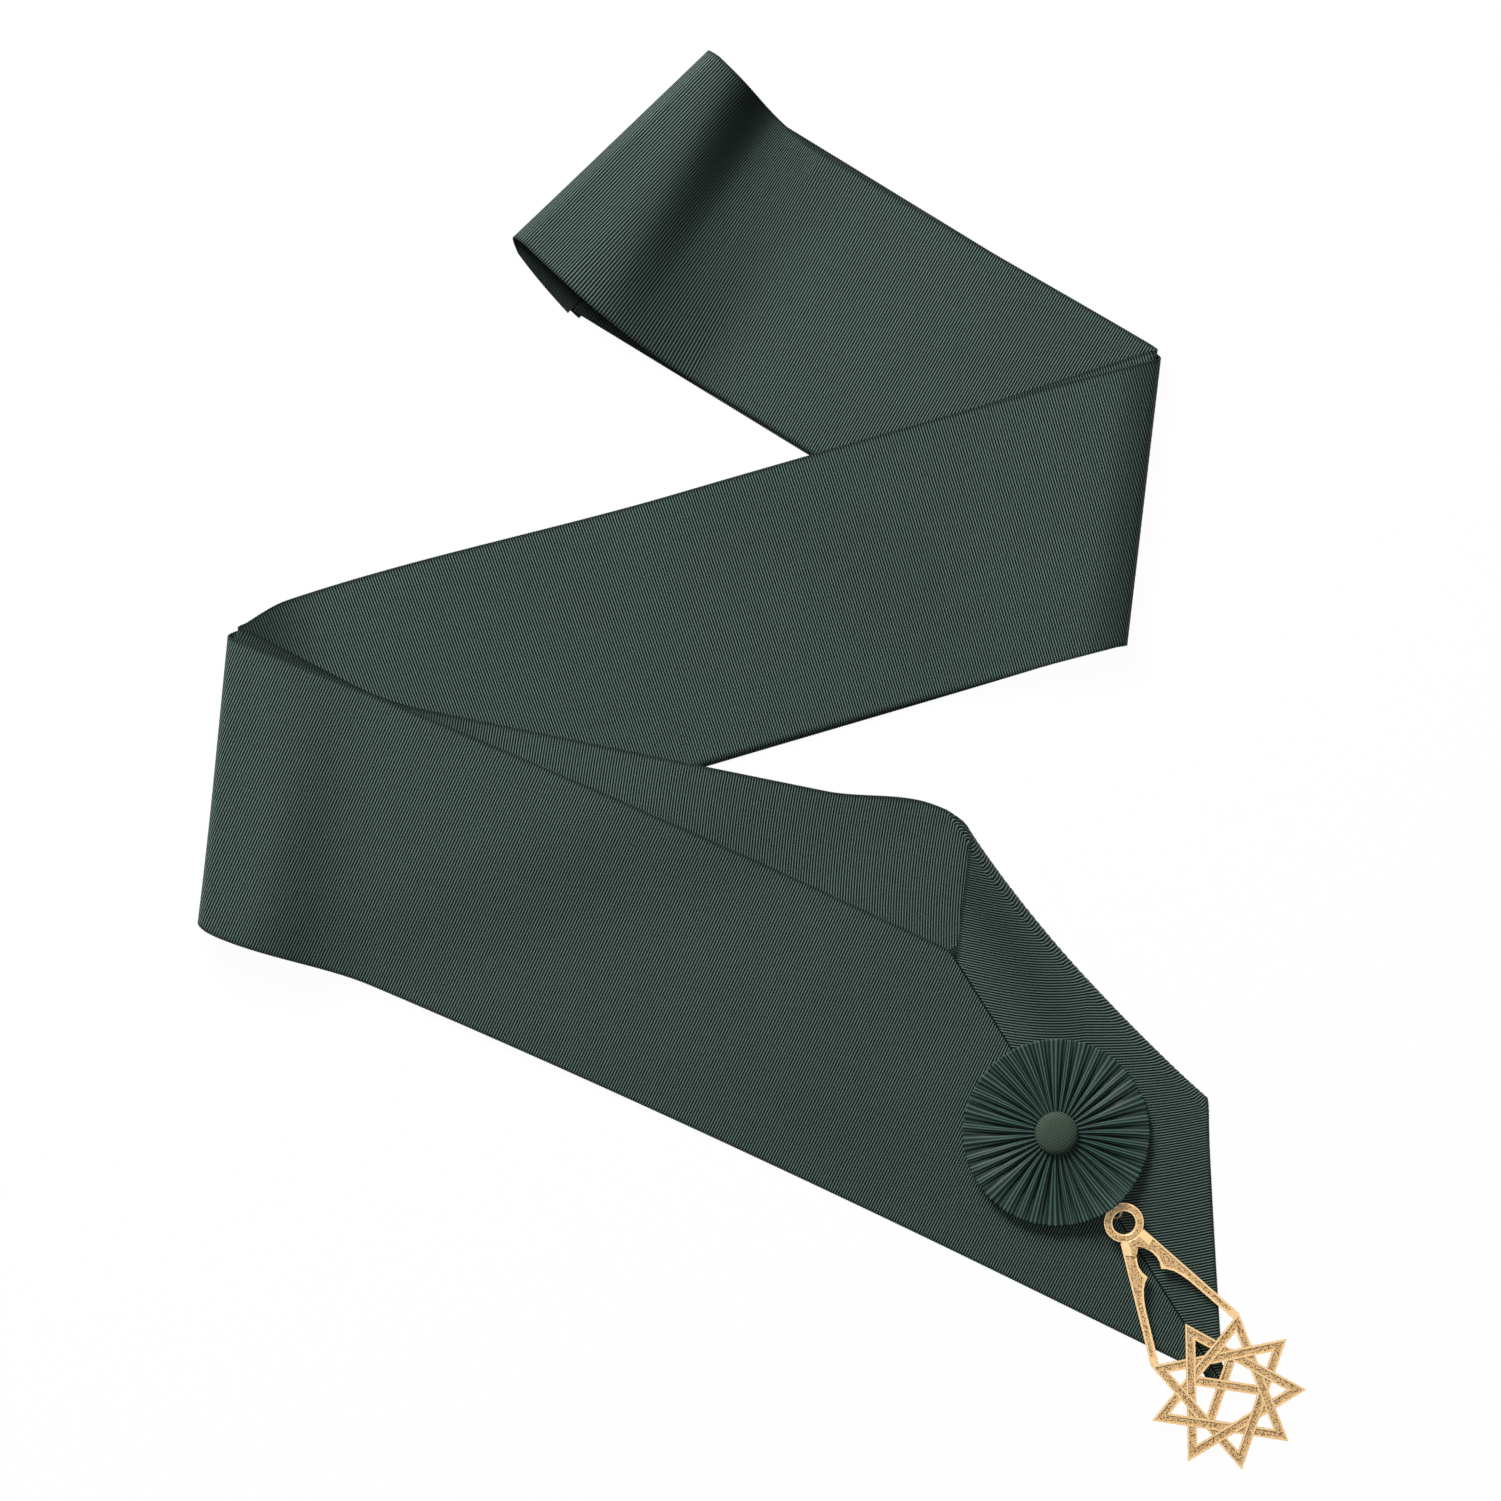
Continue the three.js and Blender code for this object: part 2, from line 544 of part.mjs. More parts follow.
function jewelGeometry() {
  const top = JEWEL_PLATE + JEWEL_RELIEF;
  const ring = new THREE.Shape().absarc(0, 0, JEWEL_RING_RADIUS, 0, 2 * Math.PI);
  const hole = new THREE.Path().absarc(0, 0, JEWEL_HOLE_RADIUS, 0, 2 * Math.PI, true);
  ring.holes.push(hole);
  const inner = [innerBar(1), innerBar(-1)];
  const crossing = prism(inner[0].room, JEWEL_PLATE, top + JEWEL_RELIEF);
  const plates = [prism(ring, 0, top, 14), ...inner.map((bar) => prism(bar.whole, 0, JEWEL_PLATE))];
  const starFields = [];
  const borders = [];
  for (let first = 0; first < 3; first += 1) {
    plates.push(prism(triangleBand(first, 0, STAR_BAR), 0, JEWEL_PLATE));
    starFields.push(prism(
      triangleBand(first, JEWEL_BORDER / 2, STAR_BAR - JEWEL_BORDER / 2), JEWEL_PLATE, top + JEWEL_RELIEF));
    const rims = joined([
      prism(triangleBand(first, 0, JEWEL_BORDER), 0, top),
      prism(triangleBand(first, STAR_BAR - JEWEL_BORDER, STAR_BAR), 0, top)]);
    const cuts = joined([first, first + 3, first + 6].map(crossingCuts));
    borders.push(rims.subtract(cuts));
  }
  const fields = joined(starFields);
  const barRims = (bar) => joined(bar.edges.map((edge) => prism(edge, 0, top)));
  const innerRims = barRims(inner[0]).add(barRims(inner[1]).subtract(crossing)).subtract(fields);
  const compasses = joined([compassHalf(1), compassHalf(-1)]).subtract(fields);
  return geometryOf(bodyOf(joined([...plates, compasses, innerRims, ...borders])));
}

// Materials
const greenRibbon = new THREE.MeshStandardMaterial({ color: 0x1f3b33, roughness: 0.75, metalness: 0 });
const greenSatin = new THREE.MeshStandardMaterial({ color: 0x1b3d33, roughness: 0.6, metalness: 0 });
const giltMetal = new THREE.MeshStandardMaterial({ color: 0xd9a860, roughness: 0.35, metalness: 1 });
const linkMetal = new THREE.MeshStandardMaterial({ color: 0xd8a98a, roughness: 0.3, metalness: 1 });

function meshNamed(name, geometry, material) {
  const mesh = new THREE.Mesh(geometry, material);
  mesh.name = name;
  return mesh;
}

const sash = new THREE.Group();
sash.add(meshNamed('front_strap', strapGeometry(frontPlan), greenRibbon));
sash.add(meshNamed('back_strap', strapGeometry(backPlan), greenRibbon));

const rosette = new THREE.Group();
rosette.position.set(rosetteAt.x, rosetteAt.y, 0);
rosette.add(meshNamed('rosette', rosetteGeometry(), greenSatin));
const button = meshNamed('rosette_button', buttonGeometry(), greenSatin);
button.position.z = buttonSeat;
rosette.add(button);
sash.add(rosette);

const eye = meshNamed('sewn_eye', eyeGeometry(), linkMetal);
eye.position.set(eyeAt.x, eyeAt.y, eyeFloor);
eye.rotation.z = radians(HANG_ANGLE);
sash.add(eye);

const link = meshNamed('jump_ring', linkGeometry(), linkMetal);
link.position.set(linkAt.x, linkAt.y, linkHeight);
sash.add(link);

const jewel = meshNamed('jewel', jewelGeometry(), giltMetal);
jewel.rotation.order = 'ZYX';
jewel.rotation.set(0, JEWEL_LEAN, radians(JEWEL_ANGLE));
jewel.position.set(jewelAt.x, jewelAt.y, jewelRingHeight);
sash.add(jewel);

// The origin is the middle of the laid sash, on the surface that it lies on
sash.updateMatrixWorld(true);
const extent = new THREE.Box3().setFromObject(sash, true);
const middle = extent.getCenter(new THREE.Vector3());
sash.position.set(-middle.x, -middle.y, -extent.min.z);

export default sash;
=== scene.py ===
"""Looks of a ribbed sash laid in folds, with its rosette and its gilt jewel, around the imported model."""

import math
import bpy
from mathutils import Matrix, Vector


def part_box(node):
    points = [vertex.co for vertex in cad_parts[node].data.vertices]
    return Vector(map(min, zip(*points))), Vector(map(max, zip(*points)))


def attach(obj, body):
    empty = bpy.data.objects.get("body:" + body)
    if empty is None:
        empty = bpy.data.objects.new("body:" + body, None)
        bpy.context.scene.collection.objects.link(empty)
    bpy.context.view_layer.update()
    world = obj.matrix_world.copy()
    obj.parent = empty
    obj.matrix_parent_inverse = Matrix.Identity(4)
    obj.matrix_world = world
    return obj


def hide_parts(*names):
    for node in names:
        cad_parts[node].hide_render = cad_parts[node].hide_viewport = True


bl_info = {
    "name": "Folded sash with rosette and jewel",
    "version": (1, 0, 0),
    "blender": (4, 5, 0),
    "location": "View3D > Sidebar > Sash",
    "description": "Makes the straps, rosette, button, link and jewel of a sash that lies folded",
    "category": "Object",
}

import bmesh
import bpy
import numpy as np
from bpy.props import FloatProperty, FloatVectorProperty, IntProperty, PointerProperty
from mathutils import Vector

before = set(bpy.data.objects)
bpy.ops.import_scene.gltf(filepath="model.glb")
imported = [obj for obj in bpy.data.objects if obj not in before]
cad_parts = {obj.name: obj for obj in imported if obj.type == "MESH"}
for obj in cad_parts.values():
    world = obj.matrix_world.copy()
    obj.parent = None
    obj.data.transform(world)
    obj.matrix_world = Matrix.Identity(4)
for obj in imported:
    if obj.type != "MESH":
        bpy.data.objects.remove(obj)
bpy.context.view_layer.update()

# Plan of the folded ribbon, in metres, as the model lays it
RIBBON_WIDTH = 0.1
RIBBON_WALL = 0.001
CLEARANCE = 0.0003
FOLDED_WIDTH = 0.381
FOLDED_LENGTH = 0.495
SETTLE_LENGTH = 0.052

HIP_SEAM = {"x": 0.8647, "y": 0.1603, "edge": 122.2}
SHOULDER_SEAM = {"x": 0.4534, "y": 0.8801, "edge": 47.75}

# Legs of each strap from the hip point on, with the fold or seam in which each one ends.
# over: the legs that it lies on; flare: how far that edge curves out, share of the ribbon width
# x, y, edge: where its centre line meets that edge, and the edge's direction in degrees
# reach: the loop's stand beyond the flat leg; turn: sideways bend between two shares of the leg's length
# lift: loop height at the + and - selvedge, kept over the shelf and let down over the run
# reach, lift, shelf and run are shares of the ribbon width
# tuck: how much of the - half is drawn in where the leg leaves its first fold
LEG_COLUMNS = (
    "name", "over", "x", "y", "edge", "flare", "reach", "turn", "bend_from", "bend_to",
    "lift_plus", "lift_minus", "shelf_plus", "shelf_minus", "run_plus", "run_minus", "tuck",
)
FRONT_LEGS = (
    ("face", ("low_band", "top_band", "inner"), 0.0146, 0.4525, 84.5, 0, 0.038, 4.5, 0, 1,
     0.085, 0.04, 0.26, 0.16, 0.42, 0.42, 0),
    ("low_band", ("low_end", "top_end"), 0.9188, 0.6637, 83.3, 0, 0.025, 2, 0, 1,
     0.022, 0.022, 0.2, 0.2, 0.35, 0.35, 0),
    ("top_end", ("low_end", "tail"), 0.4034, 0.9284, 43.7, 0, 0.05, -16, 0.7, 0.9,
     0.085, 0.05, 0.26, 0.05, 0.7, 0.5, 0),
    ("tail", (), *SHOULDER_SEAM.values(), 0, 0, 0, 0, 1, 0, 0, 0, 0, 1, 1, 0),
)
BACK_LEGS = (
    ("point", ("inner",), 0.8696, 0.2979, 132.9, 0.09, 0.03, -9, 0, 1,
     0.06, 0.015, 0.04, 0.02, 0.3, 0.3, 0),
    ("inner", ("low_band", "top_band"), 0.0333, 0.454, 88, 0, 0.03, -16, 0.8, 0.93,
     0.022, 0.035, 0.1, 0.15, 0.35, 0.35, 0.29),
    ("top_band", ("low_end", "top_end", "low_band"), 0.9225, 0.6591, 83.3, 0, 0.036, -5, 0, 1,
     0.034, 0.038, 0.1, 0.12, 0.6, 0.6, 0),
    ("low_end", (), *SHOULDER_SEAM.values(), 0, 0, 0, 0, 1, 0, 0, 0, 0, 1, 1, 0),
)

# Places where a selvedge stands out a little past the straight leg.
# side: + or - selvedge; peak: share of the leg where it stands out most; rise, fall: lengths on either side
SWELL_COLUMNS = ("leg", "side", "peak", "amount", "rise", "fall")
SWELLS = (
    ("face", 1, 0.985, 0.005, 0.05, 0.03),
    ("face", 1, 0.4, 0.0006, 0.2, 0.2),
    ("top_band", 1, 0.05, 0.005, 0.03, 0.15),
    ("top_band", 1, 0.6, -0.0011, 0.2, 0.13),
    ("low_band", 1, 0.5, -0.002, 0.2, 0.2),
    ("top_end", -1, 0.92, 0.001, 0.05, 0.04),
    ("top_end", -1, 0.0, 0.0008, 0.03, 0.12),
    ("top_end", 1, 0.8, -0.0028, 0.16, 0.06),
    ("inner", 1, 0.04, 0.0036, 0.03, 0.04),
    ("tail", 1, 0.3, 0.003, 0.06, 0.06),
    ("point", -1, 1.0, -0.003, 0.2, 0.06),
)

# Soft creases in the upper side of a leg, and bands of painted shade: where a loop shades the cloth and
# where a crease's slope turns from the light.
# fold: the one that it lies beside; step: drop of the cloth; begin: distance from the fold; run: its breadth
# shade: share of the light that it loses in the middle of its breadth, painted into the colour as shade; all
# at the + and - selvedge
CREASE_COLUMNS = (
    "leg", "fold", "step_plus", "step_minus", "begin_plus", "begin_minus", "run_plus", "run_minus",
    "shade_plus", "shade_minus",
)
CREASES = (
    ("top_end", "end", 0.0, 0.085, 0.42, 0.12, 0.16, 0.24, 0.0, 0.0),
    ("top_end", "end", 0, 0, 0.32, 0.02, 0.4, 0.44, 0.25, 0.96),
    ("top_end", "end", 0, 0, 0.35, 0.2, 0.7, 0.6, 0.35, 0.1),
    ("top_band", "end", 0, 0, -0.18, -0.18, 0.36, 0.36, 0.6, 0.6),
    ("top_band", "start", 0, 0, -0.3, -0.32, 0.66, 0.7, 0.6, 0.8),
    ("face", "end", 0, 0, 0.12, 0.3, 0.42, 0.2, 0.35, 0.0),
    ("inner", "end", 0, 0, -0.5, -0.5, 1.6, 1.6, 0.7, 0.7),
    ("tail", "start", 0, 0, -0.7, -0.7, 1.8, 1.8, 0.85, 0.85),
    ("low_end", "end", 0, 0, -0.8, -0.8, 1.6, 1.6, 0.8, 0.8),
    ("point", "start", 0, 0, 0.05, 0.0, 0.36, 0.3, 0.3, 0.0),
)


def ease(share):
    t = np.clip(share, 0, 1)
    return t * t * (3 - 2 * t)


def mix(a, b, share):
    return a + (b - a) * share


def heading(angle):
    return np.stack([np.cos(angle), np.sin(angle)], axis=-1)


def left_of(vector):
    return np.stack([-vector[..., 1], vector[..., 0]], axis=-1)


def across_mix(row, name, share):
    """A row's length at a place across the ribbon, from its shares of the width at the two selvedges."""
    return mix(row[name + "_minus"], row[name + "_plus"], share) * RIBBON_WIDTH


# Rounds in which a place on a leg is worked out from a place in plan, and the nudge that finds a slope
ROUNDS = 8
NUDGE = 1e-4


class Edge:
    """A fold's outer edge or an end cut, seen in plan."""

    def __init__(self, row, inside):
        self.at = np.array([row["x"] * FOLDED_WIDTH, row["y"] * FOLDED_LENGTH])
        self.along = heading(np.radians(row["edge"]))
        self.out = left_of(self.along)
        if (inside - self.at) @ self.out > 0:
            self.out = -self.out
        self.flare = row.get("flare", 0)

    def distance(self, plan):
        offset = plan - self.at
        off = np.clip(offset @ self.along / RIBBON_WIDTH, -1, 1)
        return offset @ self.out - self.flare * RIBBON_WIDTH * off * off


class Leg:
    """The run of a strap between two edges."""

    def __init__(self, row, start, end, side):
        self.row = row
        self.start = start
        self.end = end
        self.side = side
        span = end.at - start.at
        unit = self.unit(1.0)[0]
        self.length = np.hypot(*span) / np.hypot(*unit)
        self.turn_to = math.atan2(span[1], span[0]) - math.atan2(unit[1], unit[0])
        self.creases = [dict(zip(CREASE_COLUMNS, crease)) for crease in CREASES if crease[0] == row["name"]]
        self.swells = [dict(zip(SWELL_COLUMNS, swell)) for swell in SWELLS if swell[0] == row["name"]]

    def unit(self, share):
        """Way gone and turned through by a share of the leg, for a leg of length 1 that starts along x."""
        share = np.asarray(share, float)
        bend = self.row["bend_to"] - self.row["bend_from"]
        within = np.clip(share - self.row["bend_from"], 0, bend)
        turned = math.radians(self.row["turn"]) * within / bend
        before = np.minimum(share, self.row["bend_from"])
        after = np.maximum(share - self.row["bend_to"], 0)
        chord = within * np.sinc(turned / 2 / math.pi)
        along = before + chord * np.cos(turned / 2) + after * np.cos(turned)
        return np.stack([along, chord * np.sin(turned / 2) + after * np.sin(turned)], axis=-1), turned

    def centre(self, share):
        shift, turned = self.unit(share)
        c, s = math.cos(self.turn_to), math.sin(self.turn_to)
        at = self.length * (shift @ np.array([[c, s], [-s, c]])) + self.start.at
        return at, heading(self.turn_to + turned)

    def point(self, share, across):
        at, forward = self.centre(share)
        return at + left_of(forward) * (self.side * np.asarray(across))[..., None]

    def drawn_in(self, across, share):
        """Place across the ribbon, once the leg's start is tucked in."""
        tuck = self.row["tuck"] * (1 - ease(share * self.length / RIBBON_WIDTH))
        return across * (1 - np.where(across < 0, tuck, 0))

    def swell(self, across, share):
        """How far the cloth is moved across by the swells of its selvedges."""
        out = np.zeros_like(share)
        for row in self.swells:
            past = (share - row["peak"]) * self.length
            bump = 1 - ease(np.where(past < 0, -past / row["rise"], past / row["fall"]))
            outer = np.clip(row["side"] * across / (RIBBON_WIDTH / 2), 0, 1) ** 2
            out = out + row["side"] * row["amount"] * bump * outer
        return out

    def offset_of(self, plan):
        """Place across the leg of a point in plan."""
        share = np.full(plan.shape[:-1], 0.5)
        for _ in range(ROUNDS):
            at, forward = self.centre(share)
            share = share + ((plan - at) * forward).sum(-1) / self.length
            offset = self.side * ((plan - at) * left_of(forward)).sum(-1)
        return offset

    def meets(self, edge, inset, across, guess):
        """Share of the leg at which each place across it comes within an inset of an edge."""
        share = np.full(across.shape, float(guess))
        for _ in range(ROUNDS):
            gap = edge.distance(self.point(share, across)) + inset
            slope = (edge.distance(self.point(share + NUDGE, across)) + inset - gap) / NUDGE
            share = share - gap / slope
        return share

    def offset_along(self, edge, across):
        """Where a selvedge meets an edge, along that edge."""
        guess = 0 if edge is self.start else 1
        share = self.meets(edge, 0, np.array([across * RIBBON_WIDTH]), guess)
        plan = self.point(share, np.array([across * RIBBON_WIDTH]))[0]
        return float((plan - edge.at) @ edge.along)

    def cover(self, plan):
        """How far a place lies over this leg: 1 on it, less towards its surroundings."""
        beyond = np.maximum(np.abs(self.offset_of(plan)) - RIBBON_WIDTH / 2, self.start.distance(plan))
        beyond = np.maximum(beyond, self.end.distance(plan))
        return 1 - ease((beyond - CLEARANCE) / SETTLE_LENGTH)

    def through(self, crease, plan, share):
        """How far a place is through a crease's breadth: 0 where it begins, 1 where it ends."""
        edge = self.end if crease["fold"] == "end" else self.start
        return (-edge.distance(plan) - across_mix(crease, "begin", share)) / across_mix(crease, "run", share)

    def shade(self, plan, across):
        """Share of the light that a place loses, painted into its colour as shade."""
        share = across / RIBBON_WIDTH + 0.5
        light = np.ones(plan.shape[:-1])
        for crease in self.creases:
            through = np.clip(self.through(crease, plan, share), 0, 1)
            lost = across_mix(crease, "shade", share) / RIBBON_WIDTH
            light = light * (1 - lost * (4 * through * (1 - through)) ** 2)
        return 1 - light

    def height(self, plan, across):
        """Height of the cloth's middle: over the legs below it, and lifted towards its fold."""
        stack = sum((LEGS[name].cover(plan) for name in self.row["over"]), np.zeros(plan.shape[:-1]))
        share = across / RIBBON_WIDTH + 0.5
        shelf = across_mix(self.row, "shelf", share)
        run = across_mix(self.row, "run", share)
        kept = 1 - ease((-self.end.distance(plan) - shelf) / run)
        loop = across_mix(self.row, "lift", share) * kept * ease(-self.start.distance(plan) / run)
        for crease in self.creases:
            step = across_mix(crease, "step", share)
            loop = loop + step * (1 - ease(self.through(crease, plan, share)))
        return RIBBON_WALL / 2 + (RIBBON_WALL + CLEARANCE) * stack + loop


def plan_strap(rows):
    """The legs of a strap, turned over at each fold."""
    rows = [dict(zip(LEG_COLUMNS, row)) for row in rows]
    stops = [HIP_SEAM, *rows]
    places = [np.array([stop["x"] * FOLDED_WIDTH, stop["y"] * FOLDED_LENGTH]) for stop in stops]

    def inside(index):
        before = places[index - 1] if index else places[index + 1]
        after = places[index + 1] if index + 1 < len(places) else places[index - 1]
        return (before + after) / 2

    edges = [Edge(stop, inside(index)) for index, stop in enumerate(stops)]
    legs = []
    for index, row in enumerate(rows):
        leg = Leg(row, edges[index], edges[index + 1], -1 if index % 2 else 1)
        leg.start_inset = rows[index - 1]["reach"] * RIBBON_WIDTH if index else 0.0
        leg.end_inset = row["reach"] * RIBBON_WIDTH
        legs.append(leg)
    return legs


FRONT_PLAN = plan_strap(FRONT_LEGS)
BACK_PLAN = plan_strap(BACK_LEGS)
LEGS = {leg.row["name"]: leg for leg in FRONT_PLAN + BACK_PLAN}

# The rosette by the mitre seam, and the line on which the jewel hangs from it
ROSETTE_UP_SEAM = 0.156
ROSETTE_OFF_SEAM = 0.025
HANG_ANGLE = math.radians(-53.1)
JEWEL_ANGLE = math.radians(-58.7)
UP_SEAM = heading(math.radians(HIP_SEAM["edge"]))
ROSETTE_PLAN = (
    FRONT_PLAN[0].start.at
    + UP_SEAM * ROSETTE_UP_SEAM * RIBBON_WIDTH
    + left_of(UP_SEAM) * ROSETTE_OFF_SEAM * RIBBON_WIDTH
)


def middle_of(node):
    low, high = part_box(node)
    return (low + high) / 2


# From the plan's corner to the frame's origin
PLAN_SHIFT = np.array(middle_of("rosette")[:2]) - ROSETTE_PLAN


def to_frame(plan, height):
    return np.concatenate([plan + PLAN_SHIFT, height[..., None]], axis=-1)


class Value:
    """A number that varies over a surface. Arithmetic on it adds Math nodes."""

    def __init__(self, paint, socket):
        self.paint = paint
        self.socket = socket

    def maths(self, operation, *values):
        return self.paint.node("ShaderNodeMath", {"operation": operation}, dict(enumerate(values)))

    def __add__(self, other):
        return self.maths("ADD", self, other)

    __radd__ = __add__

    def __sub__(self, other):
        return self.maths("SUBTRACT", self, other)

    def __rsub__(self, other):
        return self.maths("SUBTRACT", other, self)

    def __mul__(self, other):
        return self.maths("MULTIPLY", self, other)

    __rmul__ = __mul__

    def __truediv__(self, other):
        return self.maths("DIVIDE", self, other)

    def __rtruediv__(self, other):
        return self.maths("DIVIDE", other, self)

    def __pow__(self, other):
        return self.maths("POWER", self, other)

    def size(self):
        return self.maths("ABSOLUTE", self)

    def sine(self):
        return self.maths("SINE", self)

    def clamped(self):
        return self.paint.node("ShaderNodeClamp", inputs={"Value": self})

    def between(self, low, high):
        settings = {"interpolation_type": "SMOOTHSTEP"}
        return self.paint.node(
            "ShaderNodeMapRange", settings, {"Value": self, "From Min": low, "From Max": high})


MIX_FACTOR = 0
MIX_FIRST_COLOUR = 6
MIX_SECOND_COLOUR = 7
MIX_COLOUR_RESULT = 2


class Paint:
    """A material and the nodes that give it its look."""

    def __init__(self, name, **sockets):
        self.material = bpy.data.materials.new(name)
        self.material.use_nodes = True
        self.tree = self.material.node_tree
        self.shader = self.tree.nodes["Principled BSDF"]
        for socket, value in sockets.items():
            self.shader.inputs[socket.replace("_", " ")].default_value = value

    def feed(self, socket, value):
        if isinstance(value, Value):
            self.tree.links.new(value.socket, socket)
        else:
            socket.default_value = value

    def node(self, kind, settings=None, inputs=None, result=0):
        made = self.tree.nodes.new(kind)
        for name, value in (settings or {}).items():
            setattr(made, name, value)
        for socket, value in (inputs or {}).items():
            self.feed(made.inputs[socket], value)
        return Value(self, made.outputs[result])

    def attribute(self, name):
        return self.node("ShaderNodeAttribute", {"attribute_name": name}, result="Fac")

    def place(self):
        return self.node("ShaderNodeTexCoord", result="Object")

    def split(self, vector):
        made = self.node("ShaderNodeSeparateXYZ", inputs={"Vector": vector}).socket.node
        return [Value(self, output) for output in made.outputs]

    def vector(self, x, y, z=0.0):
        return self.node("ShaderNodeCombineXYZ", inputs={"X": x, "Y": y, "Z": z})

    def noise(self, at, scale, detail=2.0, roughness=0.5):
        inputs = {"Vector": at, "Scale": scale, "Detail": detail, "Roughness": roughness}
        return self.node("ShaderNodeTexNoise", inputs=inputs)

    def mixed(self, share, first, second):
        settings = {"data_type": "RGBA"}
        inputs = {MIX_FACTOR: share, MIX_FIRST_COLOUR: first, MIX_SECOND_COLOUR: second}
        return self.node("ShaderNodeMix", settings, inputs, MIX_COLOUR_RESULT)

    def show(self, **sockets):
        for socket, value in sockets.items():
            self.feed(self.shader.inputs[socket.replace("_", " ")], value)

    def bump(self, height, distance):
        inputs = {"Height": height, "Distance": distance, "Strength": 1.0}
        self.show(Normal=self.node("ShaderNodeBump", inputs=inputs))


def solid(colour, amount=1.0):
    """A colour that lets nothing through, made lighter or darker by an amount."""
    return (*(channel * amount for channel in colour), 1.0)


COLOUR = {"size": 3, "subtype": "COLOR", "min": 0, "max": 1}


class RibbonSettings(bpy.types.PropertyGroup):
    """Sizes and colours of the ribbed ribbon"""

    rib_pitch: FloatProperty(
        name="Rib pitch", description="Distance from one rib to the next",
        default=0.00102, min=0.0005, unit="LENGTH")
    rib_height: FloatProperty(
        name="Rib height", description="How far a rib stands over the groove beside it",
        default=0.00012, min=0, unit="LENGTH")
    thickness: FloatProperty(
        name="Thickness", description="Thickness of the cloth over a rib",
        default=0.0007, min=0.0002, unit="LENGTH")
    columns: IntProperty(name="Columns", description="Faces across the ribbon", default=16, min=4)
    slant_columns: IntProperty(
        name="Slant columns", description="Faces in place of one where a fold crosses the ribbon slantwise",
        default=3, min=1)
    selvedge: FloatProperty(
        name="Selvedge", description="How far a rib's end stands out from the groove's", default=0.0002,
        min=0, unit="LENGTH")
    seam_gap: FloatProperty(
        name="Seam gap", description="How far each strap stays from the middle of its seam",
        default=0.00035, min=0, unit="LENGTH")
    # crest and groove: painted light on the rib tops and painted shade in the grooves between the ribs
    crest: FloatVectorProperty(
        name="Rib colour", description="Colour on top of a rib", default=(0.13, 0.2, 0.175),
        **COLOUR)
    groove: FloatVectorProperty(
        name="Groove colour", description="Colour between two ribs", default=(0.002, 0.006, 0.004),
        **COLOUR)


class RosetteSettings(bpy.types.PropertyGroup):
    """Sizes and colours of the rosette and its button"""

    radius: FloatProperty(
        name="Radius", description="Radius of the rosette's rim", default=0.035, min=0.01, unit="LENGTH")
    hub_radius: FloatProperty(
        name="Hub radius", description="Where the rosette starts to rise from the ribbon",
        default=0.009, min=0.001, unit="LENGTH")
    dish: FloatProperty(
        name="Dish", description="Rise of the underside from hub to rim", default=0.0009, unit="LENGTH")
    pleats: IntProperty(name="Pleats", description="Number of pleats round the rosette", default=37, min=6)
    pleat_cloth: FloatProperty(
        name="Cloth in a pleat", description="Length of ribbon taken up by one pleat",
        default=0.0066, unit="LENGTH")
    ribs_in_pleat: IntProperty(
        name="Ribs in a pleat", description="Ribs of the ribbon in one pleat", default=4)
    button_radius: FloatProperty(
        name="Button radius", description="Radius of the covered button", default=0.008, unit="LENGTH")
    button_height: FloatProperty(
        name="Button height", description="Height of the covered button", default=0.0034, unit="LENGTH")
    # crest and groove: painted light on the pleats' ribs and painted shade deep between the pleats
    crest: FloatVectorProperty(
        name="Rib colour", description="Colour on top of a pleat's ribs", default=(0.066, 0.135, 0.114),
        **COLOUR)
    groove: FloatVectorProperty(
        name="Pleat colour", description="Colour deep between two pleats", default=(0.001, 0.006, 0.004),
        **COLOUR)
    # button_crest and button_groove: painted light on the button's ribs and painted shade between them
    button_crest: FloatVectorProperty(
        name="Button rib colour", description="Colour on top of the button's ribs",
        default=(0.075, 0.105, 0.078), **COLOUR)
    button_groove: FloatVectorProperty(
        name="Button groove colour", description="Colour between the button's ribs",
        default=(0.022, 0.04, 0.027), **COLOUR)


class JewelSettings(bpy.types.PropertyGroup):
    """Finish of the jewel and its link"""

    gilt: FloatVectorProperty(
        name="Gilt", description="Colour of the bright borders", default=(1.0, 0.68, 0.33),
        **COLOUR)
    pitted: FloatVectorProperty(
        name="Pitted field", description="Colour at the bottom of the pits", default=(0.36, 0.18, 0.06),
        **COLOUR)
    link: FloatVectorProperty(
        name="Link", description="Colour of the link and the eye", default=(0.95, 0.72, 0.55),
        **COLOUR)
    rounding: FloatProperty(
        name="Rounding", description="Rounding of the casting's edges", default=0.0001, unit="LENGTH")
    pit_depth: FloatProperty(
        name="Pit depth", description="Depth of the pits in the sunk fields", default=0.00016, unit="LENGTH")
    pit_size: FloatProperty(
        name="Pit size", description="Distance from one pit to the next", default=0.0006, unit="LENGTH")


class StageSettings(bpy.types.PropertyGroup):
    """Camera, lights and floor"""

    lens: FloatProperty(
        name="Lens", description="Focal length of the camera in millimetres", default=180, min=20)
    view_side: FloatProperty(
        name="View side", description="Width and height of the view on the floor",
        default=0.5601, unit="LENGTH")
    key_power: FloatProperty(
        name="Key light", description="Power of the soft light in watts", default=54, min=0)
    top_power: FloatProperty(
        name="Top light", description="Power of the light overhead in watts, which the gilt reflects",
        default=24, min=0)
    sky: FloatProperty(name="Sky", description="Strength of the even light all round", default=0.1, min=0)
    floor_glow: FloatProperty(
        name="Floor glow", description="Share of the floor's brightness that no shadow takes", default=0.97,
        min=0, max=1)


